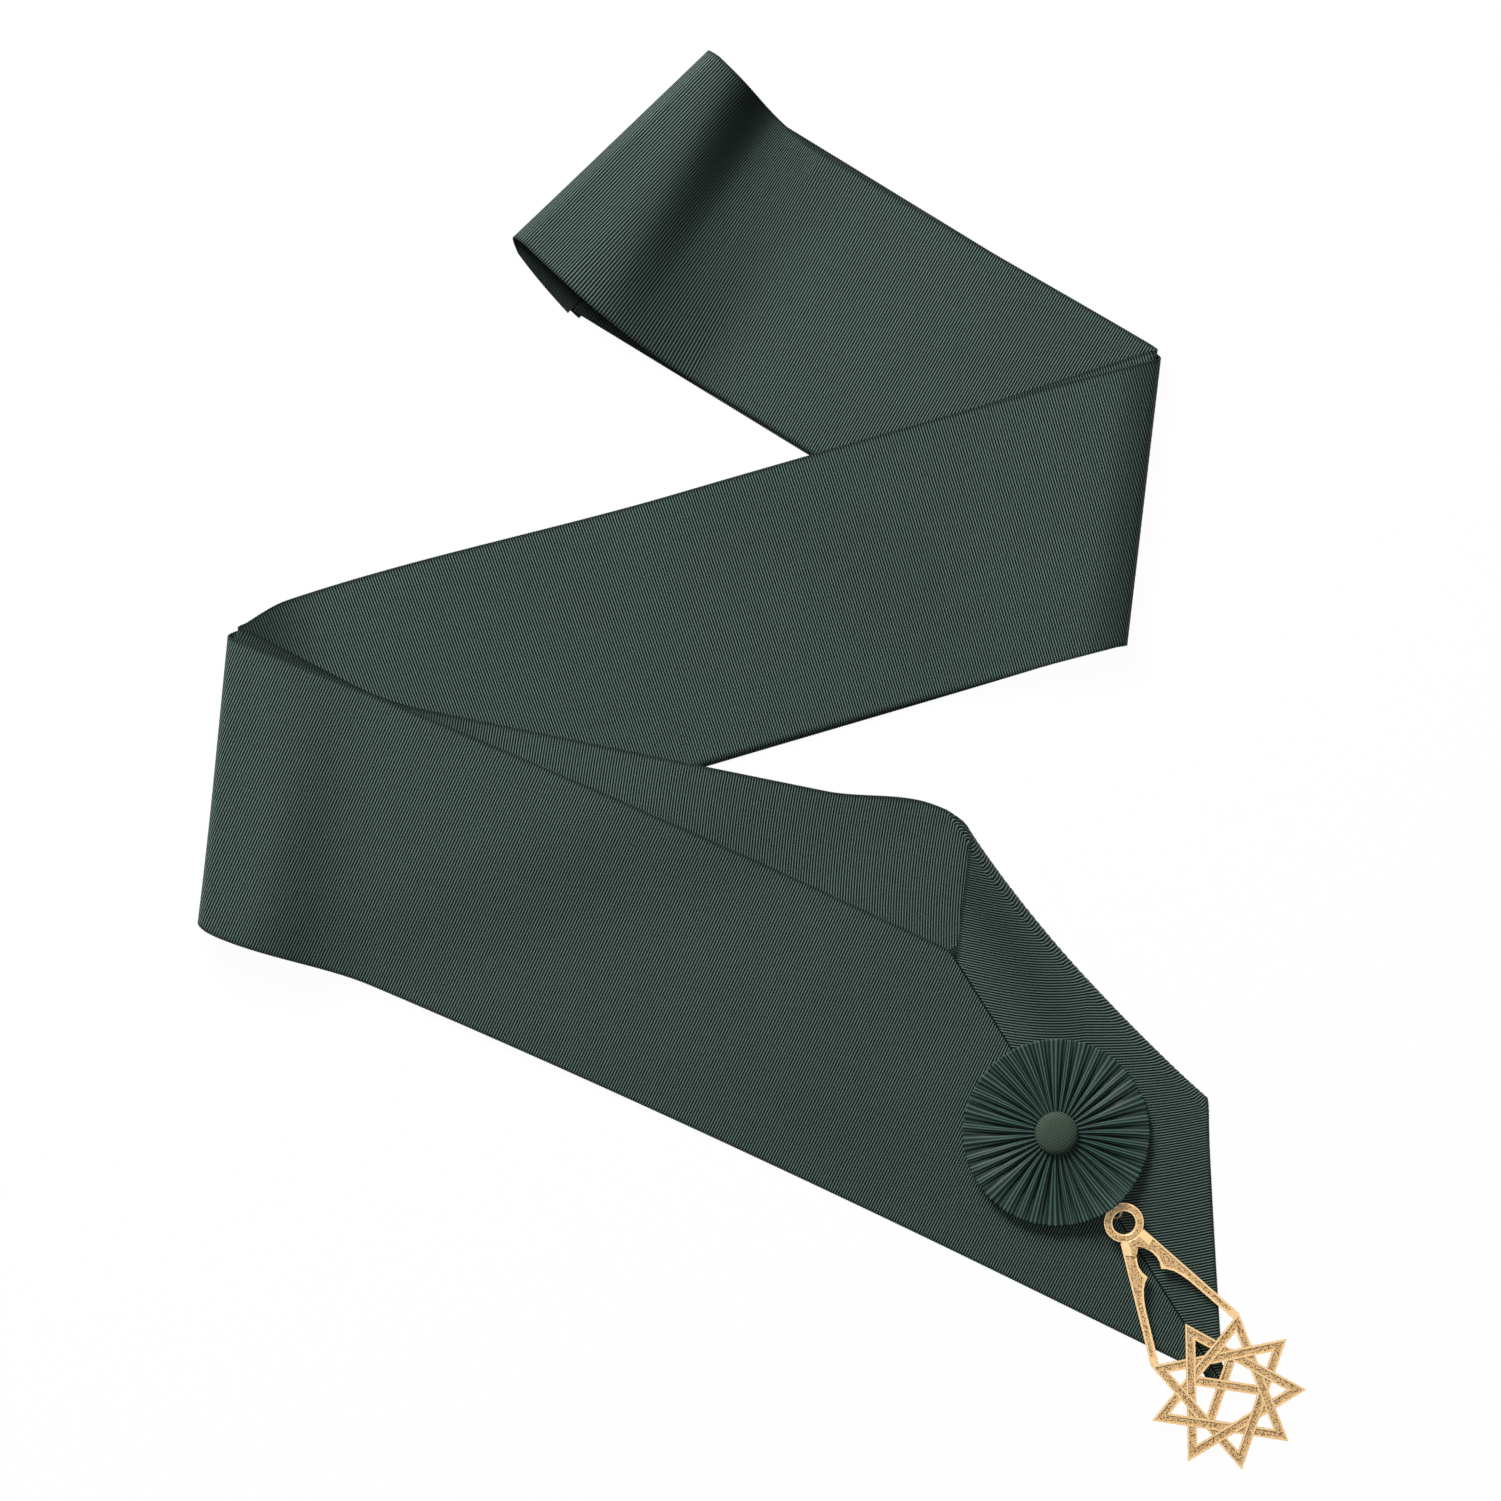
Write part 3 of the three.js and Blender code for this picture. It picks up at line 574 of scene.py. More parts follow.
def mesh_piece(name, points, faces, paint, smooth=True):
    """A mesh object from an array of points and a list of faces."""
    mesh = bpy.data.meshes.new(name)
    mesh.from_pydata([tuple(point) for point in points], [], faces)
    mesh.materials.append(paint.material)
    if smooth:
        mesh.shade_smooth()
    else:
        mesh.shade_flat()
    piece = bpy.data.objects.new(name, mesh)
    bpy.context.scene.collection.objects.link(piece)
    return piece


def banded_faces(fine_rows, columns, step):
    """Faces of a grid that keeps every column in some rows, and one column in each step in the others."""
    faces = []
    for row in range(len(fine_rows) - 1):
        low, high = row * columns, (row + 1) * columns
        below = 1 if fine_rows[row] else step
        above = 1 if fine_rows[row + 1] else step
        width = 1 if below == above == 1 else step
        for first in range(0, columns - 1, width):
            last = first + width
            under = range(low + first, low + last + 1, min(below, width))
            over = range(high + last, high + first - 1, -min(above, width))
            faces.append([*under, *over])
    return faces


def grid_faces(rows, columns, closed=False):
    """Quads of a grid of points, joined round at its last column where closed."""
    i = np.arange(rows - 1)[:, None] * columns
    j = np.arange(columns if closed else columns - 1)[None, :]
    k = (j + 1) % columns
    quads = np.stack([i + j, i + k, i + columns + k, i + columns + j], axis=-1)
    return quads.reshape(-1, 4).tolist()


def store(piece, name, values):
    """Keeps one number for each point of a mesh, for its material to read."""
    attribute = piece.data.attributes.new(name, "FLOAT", "POINT")
    attribute.data.foreach_set("value", np.asarray(values, np.float32).ravel())


def solidify(piece, thickness):
    """Gives a sheet its thickness, half on each side of its middle."""
    thick = piece.modifiers.new("Cloth thickness", "SOLIDIFY")
    thick.thickness = thickness
    thick.offset = 0
    return thick


def tell(piece, slot, *nodes):
    """What the piece rides on and the solids it stands for; slot, the finish it takes, is not used."""
    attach(piece, "root")
    if nodes:
        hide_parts(*nodes)


def knots_of(legs, across):
    """Where each leg starts and ends along the ribbon, at each place across it, and its shares there."""
    spans = []
    origin = 0.0
    for index, leg in enumerate(legs):
        start = leg.meets(leg.start, leg.start_inset, leg.drawn_in(across, np.zeros_like(across)), 0)
        end = leg.meets(leg.end, leg.end_inset, across, 1)
        span = {"leg": leg, "from": start, "to": end}
        if index:
            before = spans[-1]
            wanted = before["last"] + before["loop"]
            origin = np.mean(wanted - start * leg.length)
            shift = (wanted - (origin + start * leg.length)) / 2
            before["last"] = before["last"] - shift
            span["first"] = before["last"] + before["loop"]
        else:
            span["first"] = start * leg.length
        span["last"] = origin + end * leg.length
        span["loop"] = loop_length(legs, index, across, end)
        spans.append(span)
    return spans


def end_height(leg, across, share, place):
    """Height of a leg's end, at 1.0, or its start, at 0.0."""
    plan = leg.point(share, leg.drawn_in(across, np.full_like(across, place)))
    return leg.height(plan, across)


def loop_length(legs, index, across, end):
    """Cloth in the loop after a leg: half the way round an ellipse."""
    if index + 1 == len(legs):
        return 0.0
    leg = legs[index]
    after = legs[index + 1]
    top = end_height(leg, across, end, 1.0)
    first = after.meets(after.start, after.start_inset, after.drawn_in(across, np.zeros_like(across)), 0)
    low = end_height(after, across, first, 0.0)
    rise = np.mean(np.abs(top - low)) / 2
    return math.pi * math.sqrt((leg.end_inset ** 2 + rise ** 2) / 2)


def leg_points(span, across, share):
    """Points on a leg, each with the share of the light that it loses."""
    leg = span["leg"]
    along = mix(span["from"], span["to"], share)
    plan = leg.point(along, leg.drawn_in(across, np.maximum(share, 0)) + leg.swell(across, share))
    points = to_frame(plan, leg.height(plan, across))
    return np.concatenate([points, leg.shade(plan, across)[..., None]], axis=-1)


# How far a loop is drawn in at the selvedges, as a share of its reach, so that a fold's corners are round
CORNER_ROUNDING = 0.15
CORNERS_MORE_ROUND = {"point": 0.75}
# The greater, the closer to the selvedge the drawing in begins
CORNER_POWER = 8


def loop_points(span, after, side, along):
    """Cloth that turns over from one leg to the next and is drawn in at its selvedges."""
    turn = np.clip((along - span["last"]) / span["loop"], 0, 1)
    ends = np.ones(along.shape)
    last = leg_points(span, side, ends)
    first = leg_points(after, side, ends * 0)
    loop = mix(last, first, turn[..., None])
    loop[..., 2] = mix(last[..., 2], first[..., 2], (1 - np.cos(math.pi * turn)) / 2)
    leg = span["leg"]
    reach = (leg.end_inset * np.sin(math.pi * turn))[..., None]
    off = (loop[..., :2] - leg.end.at - PLAN_SHIFT) @ leg.end.along
    rounding = CORNERS_MORE_ROUND.get(leg.row["name"], CORNER_ROUNDING)
    inward = -np.sign(off) * rounding * np.abs(side * 2 / RIBBON_WIDTH) ** CORNER_POWER
    loop[..., :2] += leg.end.out * reach + leg.end.along * inward[..., None] * reach
    return loop


def strap_points(spans, along, side):
    """Middle of a strap's cloth and its shade, for each distance along it and each place across it."""
    points = np.zeros((*along.shape, 4))
    for index, span in enumerate(spans):
        share = (along - span["first"]) / (span["last"] - span["first"])
        here = np.ones(along.shape, bool)
        if index:
            here &= along >= span["first"]
        if index + 1 < len(spans):
            here &= along <= span["last"]
        points = np.where(here[..., None], leg_points(span, side, share), points)
    for span, after in zip(spans, spans[1:]):
        looped = (along > span["last"]) & (along < after["first"])
        points = np.where(looped[..., None], loop_points(span, after, side, along), points)
    return points


def cut_end(piece, edge, gap, picked):
    """Cuts a strap's end off along its seam, only among the points picked."""
    cloth = bmesh.new()
    cloth.from_mesh(piece.data)
    cloth.verts.ensure_lookup_table()
    picked = {cloth.verts[index] for index in np.flatnonzero(picked)}
    faces = [face for face in cloth.faces if all(vertex in picked for vertex in face.verts)]
    edges = {edge for face in faces for edge in face.edges}
    place = edge.at - edge.out * gap + PLAN_SHIFT
    bmesh.ops.bisect_plane(
        cloth, geom=[*picked, *edges, *faces], dist=1e-7, plane_co=(*place, 0), plane_no=(*edge.out, 0),
        clear_outer=True)
    cloth.to_mesh(piece.data)
    cloth.free()


class SASH_OT_straps(bpy.types.Operator):
    """Make the two ribbed straps, folded as they lie"""

    bl_idname = "sash.straps"
    bl_label = "Straps"

    def execute(self, context):
        sizes = context.scene.sash_ribbon
        paint = ribbon_paint(sizes)
        turned = seam_paint(sizes)
        hip = make_allowance("hip_seam_allowance", FRONT_PLAN[0].start, LEGS["face"], (0.0, 0.0), turned)
        shoulder = make_allowance(
            "shoulder_seam_allowance", BACK_PLAN[-1].end, LEGS["low_end"], (0.0006, 0.0006), turned)
        front = make_strap("front_strap_ribbon", "front_strap", FRONT_PLAN, sizes, paint)
        back = make_strap("back_strap_ribbon", "back_strap", BACK_PLAN, sizes, paint)
        return {"FINISHED"}


# A fold is slant where it crosses the ribbon over more than this length
SLANT_SPAN = 0.02
# Cloth made past each seam, to be cut off there
SPARE_CLOTH = 0.002


def fine_rows(spans, rows_at):
    """Which rows lie in a slant fold, where the cloth turns over at a different place in each column."""
    fine = np.zeros(len(rows_at), bool)
    for span, after in zip(spans, spans[1:]):
        if np.ptp(span["last"]) > SLANT_SPAN:
            fine |= (rows_at > span["last"].min()) & (rows_at < after["first"].max())
    return fine


def rib_steps(spans, half):
    """Numbers of the rows of points, half a rib apart: even on a rib, odd in a groove."""
    first = math.floor((spans[0]["first"].min() - SPARE_CLOTH) / half)
    last = math.ceil((spans[-1]["last"].max() + SPARE_CLOTH) / half)
    return np.arange(first, last + 1)


def make_strap(name, node, legs, sizes, paint):
    """A ribbon laid along its legs, ribbed, cut off at its seams and given its thickness."""
    columns = sizes.columns * sizes.slant_columns + 1
    across = np.linspace(-0.5, 0.5, columns) * RIBBON_WIDTH
    spans = knots_of(legs, across)
    steps = rib_steps(spans, sizes.rib_pitch / 2)
    rows_at = steps * (sizes.rib_pitch / 2)
    on_rib = np.repeat((steps % 2 == 0).astype(float)[:, None], columns, axis=1)
    side = across[None, :] * (1 + on_rib * 2 * sizes.selvedge / RIBBON_WIDTH)
    along = np.repeat(rows_at[:, None], columns, axis=1)
    points = strap_points(spans, along, side)
    faces = banded_faces(fine_rows(spans, rows_at), columns, sizes.slant_columns)
    piece = mesh_piece(name, points[..., :3].reshape(-1, 3), faces, paint, smooth=False)
    at_start = along < (spans[0]["first"] + spans[0]["last"]) / 2
    at_end = along > (spans[-1]["first"] + spans[-1]["last"]) / 2
    store(piece, "shade", points[..., 3])
    store(piece, "rib", on_rib)
    store(piece, "along", along)
    store(piece, "across", side)
    store(piece, "part", at_end.astype(float) - at_start)
    trim_strap(piece, legs, sizes.seam_gap)
    thicken(piece, sizes)
    tell(piece, "sash_ribbon", node)
    return piece


# Strips of cloth turned in behind the seams: half width, depth under the ribbon, and rows along them
SEAM_ALLOWANCE = 0.004
SEAM_DEPTH = 0.00055
SEAM_ROWS = 60
SEAM_COLUMNS = 9
SEAM_SHEET = 0.00025
LEAST_HEIGHT = 0.0002


def make_allowance(name, edge, leg, past, paint):
    """A strip of the ribbon's turned-in ends, close under a seam."""
    low, high = (leg.offset_along(edge, share) for share in (-0.5, 0.5))
    run = np.linspace(min(low, high) - past[0], max(low, high) + past[1], SEAM_ROWS)
    sides = np.linspace(-SEAM_ALLOWANCE, SEAM_ALLOWANCE, SEAM_COLUMNS)
    plan = edge.at + edge.along * run[:, None, None] + edge.out * sides[None, :, None]
    height = leg.height(plan, np.zeros(plan.shape[:-1])) - SEAM_DEPTH
    points = to_frame(plan, np.maximum(height, LEAST_HEIGHT))
    piece = mesh_piece(name, points.reshape(-1, 3), grid_faces(SEAM_ROWS, SEAM_COLUMNS), paint)
    solidify(piece, SEAM_SHEET)
    tell(piece, "sash_ribbon")
    return piece


def read(piece, name):
    """The numbers kept for the points of a mesh."""
    values = np.zeros(len(piece.data.vertices), np.float32)
    piece.data.attributes[name].data.foreach_get("value", values)
    return values


def trim_strap(piece, legs, gap):
    """Drops the points that no face uses, and cuts the strap off at both of its seams."""
    cloth = bmesh.new()
    cloth.from_mesh(piece.data)
    loose = [vertex for vertex in cloth.verts if not vertex.link_faces]
    bmesh.ops.delete(cloth, geom=loose, context="VERTS")
    cloth.to_mesh(piece.data)
    cloth.free()
    cut_end(piece, legs[-1].end, gap, read(piece, "part") > 0.5)
    cut_end(piece, legs[0].start, gap, read(piece, "part") < -0.5)


def thicken(piece, sizes):
    """Gives the cloth its thickness, less in the grooves than over the ribs."""
    on_rib = read(piece, "rib")
    group = piece.vertex_groups.new(name="rib")
    group.add(np.flatnonzero(on_rib > 0.5).tolist(), 1.0, "REPLACE")
    thick = solidify(piece, sizes.thickness)
    thick.vertex_group = "rib"
    thick.thickness_vertex_group = 1 - 2 * sizes.rib_height / sizes.thickness


def seam_paint(sizes):
    """The ribbon's ends, painted near black as the shade that lies under a seam."""
    paint = Paint("Turned-in ends in painted shade", Roughness=0.7, Specular_IOR_Level=0.1)
    # painted shade: both colours are near black
    wear = paint.noise(paint.place(), 1500, 2.0)
    paint.show(Base_Color=paint.mixed(wear, solid(sizes.groove), solid(sizes.crest, 0.08)))
    return paint


# A darker band at each selvedge starts here, measured from the ribbon's middle: the selvedge's tighter
# weave, and painted shade for the thin shadow line along a layer's edge.
SELVEDGE_FROM = 0.0482


def ribbon_paint(sizes):
    """Corded ribbon: pale rib tops in painted light over dark grooves in painted shade, with fine threads
    along it and broad worn patches.
    """
    paint = Paint("Ribbed ribbon", Roughness=0.6, Specular_IOR_Level=0.12, Sheen_Weight=0.04)
    rib = paint.attribute("rib")
    along = paint.attribute("along")
    across = paint.attribute("across")
    threads = paint.noise(paint.vector(along * 400, across * 1400), 1.0, 1.0)
    worn = paint.noise(paint.vector(along * 22, across * 22), 1.0, 3.0)
    # selvedge band: tighter weave, and painted shade along the layer's edge
    selvedge = across.size().between(SELVEDGE_FROM, RIBBON_WIDTH / 2)
    # rib tone: painted light on the rib tops, painted shade in the grooves
    tone = rib.between(0.4, 0.95) * (0.8 + threads * 0.14 + worn * 0.16) * (1 - 0.65 * selvedge)
    # painted shade: the light lost in creases and under loops darkens the colour
    tone = tone * (1 - paint.attribute("shade"))
    colour = paint.mixed(tone.clamped(), solid(sizes.groove), solid(sizes.crest))
    paint.show(Base_Color=colour)
    return paint


# The rosette's height over its underside, and how deep its pleats go, at shares of its radius
ROSETTE_COLUMNS = ("radius", "height", "depth")
ROSETTE_SECTIONS = (
    (0.13, 0.085, 0.06),
    (0.26, 0.1, 0.085),
    (0.45, 0.088, 0.074),
    (0.65, 0.07, 0.055),
    (0.85, 0.055, 0.03),
    (1.0, 0.045, 0.016),
)
ROSETTE_START = 0.15
ROSETTE_ROWS = 40
ROSETTE_SEED = 37
PLEAT_COLUMNS = 16
PLEAT_SHEET = 0.00035
PLEAT_RIB = 0.00016
# How far pleats differ in width and in depth, and how far they lean out of the radius
UNEVEN_WIDTH = 0.34
UNEVEN_DEPTH = 0.25
PLEAT_LEAN = 0.1
# How far the ribs stand out at the rim
RIM_RIB = 0.0002
# Where the rim's two ends overlap, by how much and how far round, and the width of the arch over the link
OVERLAP_ANGLE = math.radians(24)
OVERLAP_STEP = 0.012
OVERLAP_RUN = 0.35
ARCH_WIDTH = math.radians(17)


def section(column, share):
    """One measure of the rosette at shares of its radius."""
    rows = [dict(zip(ROSETTE_COLUMNS, row)) for row in ROSETTE_SECTIONS]
    return np.interp(share, [row["radius"] for row in rows], [row[column] for row in rows])


def wrapped(angle):
    return (angle + math.pi) % (2 * math.pi) - math.pi


def rosette_underside(sizes, radius, angle):
    """The rosette sits on its hub, dishes up to its rim and arches over the link."""
    outward = np.clip((radius - sizes.hub_radius) / (sizes.radius - sizes.hub_radius), 0, 1)
    near_link = np.exp(-(wrapped(angle - HANG_ANGLE) / ARCH_WIDTH) ** 2)
    low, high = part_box("rosette")
    seat = low[2]
    arch = high[2] - seat - sizes.dish - ROSETTE_SECTIONS[-1][1] * sizes.radius
    return seat + sizes.dish * outward + arch * near_link * outward ** 2


def pleat_angles(sizes, share):
    """Angle of each column at each radius: pleats differ in width and lean a little."""
    chance = np.random.default_rng(ROSETTE_SEED)
    widths = 1 + UNEVEN_WIDTH * chance.uniform(-1, 1, sizes.pleats)
    leans = np.resize(chance.uniform(-1, 1, sizes.pleats), sizes.pleats + 1)
    starts = np.concatenate([[0], np.cumsum(widths)]) / widths.sum() * 2 * math.pi
    columns = np.arange(sizes.pleats * PLEAT_COLUMNS) / PLEAT_COLUMNS
    around = np.interp(columns, np.arange(sizes.pleats + 1), starts)
    lean = np.interp(columns, np.arange(sizes.pleats + 1), leans)
    even = columns * 2 * math.pi / sizes.pleats
    mixed = mix(even[None, :], around[None, :], 0.4 + 0.6 * share[:, None])
    return mixed + PLEAT_LEAN * lean[None, :] * (share[:, None] - 0.3) + chance.uniform(0, 1)


def pleat_crest(phase, share):
    """How high a place lies in its pleat, 0 to 1: sharp pleats near the hub, soft ones at the rim."""
    sharp = np.abs(np.sin(math.pi * phase)) ** 0.8
    soft = (1 - np.cos(2 * math.pi * phase)) / 2
    return mix(sharp[None, :], soft[None, :], ease((share - 0.6) / 0.4)[:, None])


def pleat_radius(sizes, share, angle, rib):
    """Distance from the middle: the rim steps in where its ends overlap, and its ribs stand out."""
    past = wrapped(angle - OVERLAP_ANGLE)
    overlap = OVERLAP_STEP * np.clip(1 - past / OVERLAP_RUN, 0, 1)
    overlap = np.where(past > 0, overlap, 0) * ease((share - 0.7) / 0.3)[:, None]
    radius = share[:, None] * sizes.radius * (1 - overlap)
    return radius - RIM_RIB * (1 - rib)[None, :] * ease((share - 0.95) / 0.05)[:, None]


def rosette_points(sizes):
    """Middle of the pleated cloth, the crest and the rib at each point, and the radii of its rows."""
    share = np.linspace(ROSETTE_START, 1, ROSETTE_ROWS)
    angle = pleat_angles(sizes, share)
    columns = np.arange(sizes.pleats * PLEAT_COLUMNS)
    phase = columns / PLEAT_COLUMNS
    crest = pleat_crest(phase, share)
    rib = (1 + np.cos(2 * math.pi * columns * sizes.ribs_in_pleat / PLEAT_COLUMNS)) / 2
    chance = np.random.default_rng(ROSETTE_SEED + 1)
    uneven = 1 - UNEVEN_DEPTH * chance.uniform(0, 1, sizes.pleats)[phase.astype(int)]
    radius = pleat_radius(sizes, share, angle, rib)
    top = section("height", share)[:, None] * sizes.radius - PLEAT_SHEET / 2
    depth = section("depth", share)[:, None] * sizes.radius * np.where(share[:, None] > 0.5, uneven, 1)
    over = top - depth * (1 - crest) + PLEAT_RIB * (rib[None, :] - 1)
    height = rosette_underside(sizes, radius, angle) + over
    plan = ROSETTE_PLAN + heading(angle) * radius[..., None]
    return to_frame(plan, height), crest, np.repeat(rib[None, :], ROSETTE_ROWS, axis=0), share


class SASH_OT_rosette(bpy.types.Operator):
    """Make the pleated rosette"""

    bl_idname = "sash.rosette"
    bl_label = "Rosette"

    def execute(self, context):
        sizes = context.scene.sash_rosette
        points, crest, rib, share = rosette_points(sizes)
        paint = rosette_paint(sizes)
        piece = mesh_piece(
            "rosette_pleats", points.reshape(-1, 3), grid_faces(*points.shape[:2], closed=True), paint)
        store(piece, "crest", crest)
        store(piece, "rib", rib)
        store(piece, "outward", np.repeat(share[:, None], points.shape[1], axis=1))
        solidify(piece, PLEAT_SHEET)
        tell(piece, "rosette_ribbon", "rosette")
        return {"FINISHED"}


def rosette_paint(sizes):
    """Ribbon whose ribs run out along the pleats, with painted light on the ribs, painted shade between
    them, and painted shade deep between the pleats towards the hub.
    """
    paint = Paint("Pleated ribbon", Roughness=0.5, Specular_IOR_Level=0.2, Sheen_Weight=0.04)
    crest = paint.attribute("crest")
    rib = paint.attribute("rib")
    threads = paint.noise(paint.place(), 2600, 1.0)
    outward = paint.attribute("outward")
    # painted light on the ribs and painted shade between them
    ribbed = rib.between(0.35, 0.95) * 0.92 + 0.08
    # painted shade deep in the pleats, strongest towards the hub
    deep = crest * (1 - outward * 0.6) + outward * 0.6
    tone = ribbed * deep.between(0.15, 1.0) * (0.7 + threads * 0.4)
    colour = paint.mixed(tone.clamped(), solid(sizes.groove), solid(sizes.crest))
    paint.show(Base_Color=colour)
    return paint


BUTTON_ROWS = 26
BUTTON_AROUND = 96
BUTTON_RIB_PITCH = 0.00093
BUTTON_RIB_ANGLE = math.radians(52)


# The cover under the dome, from its turned-in edge outwards: shares of the button's radius and height
BUTTON_EDGE = ((0.5, 0.0), (0.84, 0.0), (0.95, 0.08))
BUTTON_TOP = (0.012, 1.0)
DOME_START = 0.22


def button_points(sizes):
    """Rings of points up the covered button."""
    rise = np.linspace(0, math.pi / 2, BUTTON_ROWS)[:-1]
    dome = [(math.cos(a) ** 0.8, DOME_START + (1 - DOME_START) * math.sin(a)) for a in rise]
    rings = np.array([*BUTTON_EDGE, *dome, BUTTON_TOP])
    angle = np.arange(BUTTON_AROUND) / BUTTON_AROUND * 2 * math.pi
    plan = ROSETTE_PLAN + heading(angle) * (rings[:, :1] * sizes.button_radius)[..., None]
    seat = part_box("rosette_button")[0][2]
    height = np.repeat(seat + rings[:, 1:] * sizes.button_height, BUTTON_AROUND, axis=1)
    return to_frame(plan, height)


class SASH_OT_button(bpy.types.Operator):
    """Make the cloth-covered button"""

    bl_idname = "sash.button"
    bl_label = "Button"

    def execute(self, context):
        sizes = context.scene.sash_rosette
        points = button_points(sizes)
        faces = grid_faces(*points.shape[:2], closed=True)
        last = (len(points) - 1) * BUTTON_AROUND
        faces.append(list(range(BUTTON_AROUND))[::-1])
        faces.append(list(range(last, last + BUTTON_AROUND)))
        piece = mesh_piece("button_cover", points.reshape(-1, 3), faces, button_paint(sizes))
        tell(piece, "button_cloth", "rosette_button")
        return {"FINISHED"}


def button_paint(sizes):
    """The same ribbon drawn over a button, with its ribs on the slant: painted light on the ribs and painted
    shade between them, over a bump.
    """
    paint = Paint("Button cloth", Roughness=0.6, Specular_IOR_Level=0.12, Sheen_Weight=0.04)
    at = paint.split(paint.place())
    across = at[0] * math.cos(BUTTON_RIB_ANGLE) + at[1] * math.sin(BUTTON_RIB_ANGLE)
    wave = (across * (2 * math.pi / BUTTON_RIB_PITCH)).sine() * 0.5 + 0.5
    threads = paint.noise(paint.place(), 2600, 1.0)
    # painted light on the ribs, painted shade between them
    tone = wave * (0.7 + threads * 0.6)
    colour = paint.mixed(tone.clamped(), solid(sizes.button_groove), solid(sizes.button_crest))
    paint.show(Base_Color=colour)
    paint.bump(wave, 0.00012)
    return paint


# The jewel's casting: the borders raised on it, and its lean out of the floor's plane
JEWEL_RELIEF = 0.0003
JEWEL_LEAN = 0.042318
JEWEL_NORMAL = (
    math.sin(JEWEL_LEAN) * math.cos(JEWEL_ANGLE),
    math.sin(JEWEL_LEAN) * math.sin(JEWEL_ANGLE),
    math.cos(JEWEL_LEAN),
)
# Faces that meet at less than the first angle are one flat; edges past the second are rounded
FLAT_ANGLE = math.radians(1)
EDGE_ANGLE = math.radians(30)
# The suspension ring's middle, where the link and the jewel hang from the rosette
LINK_FROM_ROSETTE = 0.0359
RING_FROM_LINK = 0.0059
JEWEL_RING = ROSETTE_PLAN + PLAN_SHIFT + heading(HANG_ANGLE) * (LINK_FROM_ROSETTE + RING_FROM_LINK)
# The pitted groove round the ring, and the pitted field on the compasses' head, which narrows to the ring
RING_GROOVE = (0.0048, 0.0051, 0.0067, 0.007)
HEAD_FIELD = (0.0072, 0.0075, 0.0135, 0.0139)
HEAD_SPREAD = 0.28
HEAD_EDGE = (-0.0001, 0.0003)


def metal_copy(node, name, paint):
    """A piece with the form of one of the model's metal parts, for a finer finish."""
    source = bpy.data.objects[node]
    mesh = source.data.copy()
    mesh.name = name
    mesh.transform(source.matrix_world)
    mesh.materials.clear()
    mesh.materials.append(paint.material)
    piece = bpy.data.objects.new(name, mesh)
    bpy.context.scene.collection.objects.link(piece)
    return piece


def round_edges(piece, rounding):
    """Joins the casting's flat faces and rounds its edges a little."""
    casting = bmesh.new()
    casting.from_mesh(piece.data)
    bmesh.ops.remove_doubles(casting, verts=casting.verts, dist=1e-6)
    bmesh.ops.dissolve_limit(casting, angle_limit=FLAT_ANGLE, verts=casting.verts, edges=casting.edges)
    casting.to_mesh(piece.data)
    casting.free()
    piece.data.shade_flat()
    rounded = piece.modifiers.new("Cast edges", "BEVEL")
    rounded.width = rounding
    rounded.segments = 2
    rounded.angle_limit = EDGE_ANGLE
    rounded.harden_normals = True


class SASH_OT_jewel(bpy.types.Operator):
    """Make the gilt jewel: suspension ring, compasses and interlaced star"""

    bl_idname = "sash.jewel"
    bl_label = "Jewel"

    def execute(self, context):
        sizes = context.scene.sash_jewel
        source = bpy.data.objects["jewel"]
        normal = np.array(JEWEL_NORMAL)
        corners = np.array([source.matrix_world @ vertex.co for vertex in source.data.vertices])
        field = float((corners @ normal).max()) - JEWEL_RELIEF
        piece = metal_copy("jewel", "jewel_casting", jewel_paint(sizes, field, JEWEL_RING))
        round_edges(piece, sizes.rounding)
        tell(piece, "jewel_gilt", "jewel")
        return {"FINISHED"}


def within(value, limits):
    """1 between the two middle limits, and 0 past the outer ones."""
    return value.between(*limits[:2]) * (1 - value.between(*limits[2:]))


def sunk_fields(at, ring):
    """Where the ring and the compasses' head are pitted inside their borders."""
    off_x = at[0] - float(ring[0])
    off_y = at[1] - float(ring[1])
    off = (off_x * off_x + off_y * off_y) ** 0.5
    along = off_x * math.cos(JEWEL_ANGLE) + off_y * math.sin(JEWEL_ANGLE)
    aside = (off_y * math.cos(JEWEL_ANGLE) - off_x * math.sin(JEWEL_ANGLE)).size()
    head = within(along, HEAD_FIELD) * (1 - (aside - along * HEAD_SPREAD).between(*HEAD_EDGE))
    return (within(off, RING_GROOVE) + head).clamped()


def jewel_paint(sizes, field, ring):
    """Gilt casting: bright plain borders with painted shade at their feet, round pitted fields."""
    paint = Paint("Gilt casting", Metallic=0.35)
    at = paint.split(paint.place())
    height = at[0] * JEWEL_NORMAL[0] + at[1] * JEWEL_NORMAL[1] + at[2] * JEWEL_NORMAL[2] - field
    raised = height.between(0.3 * JEWEL_RELIEF, 0.7 * JEWEL_RELIEF)
    border = raised * (1 - sunk_fields(at, ring))
    # painted shade in the corner at the foot of each border
    foot_shade = height.between(0.02 * JEWEL_RELIEF, 0.12 * JEWEL_RELIEF) * (1 - raised)
    pits = paint.noise(paint.place(), 1 / sizes.pit_size, 1.0).between(0.37, 0.48)
    gilt, pitted = solid(sizes.gilt), solid(sizes.pitted)
    pitted_field = paint.mixed(0.22, paint.mixed(pits, pitted, gilt), pitted)
    colour = paint.mixed(border, pitted_field, gilt)
    colour = paint.mixed(foot_shade.clamped() * 0.6, colour, pitted)
    paint.show(Base_Color=colour, Roughness=0.42 - 0.12 * border)
    paint.bump(pits * (1 - border), sizes.pit_depth)
    return paint


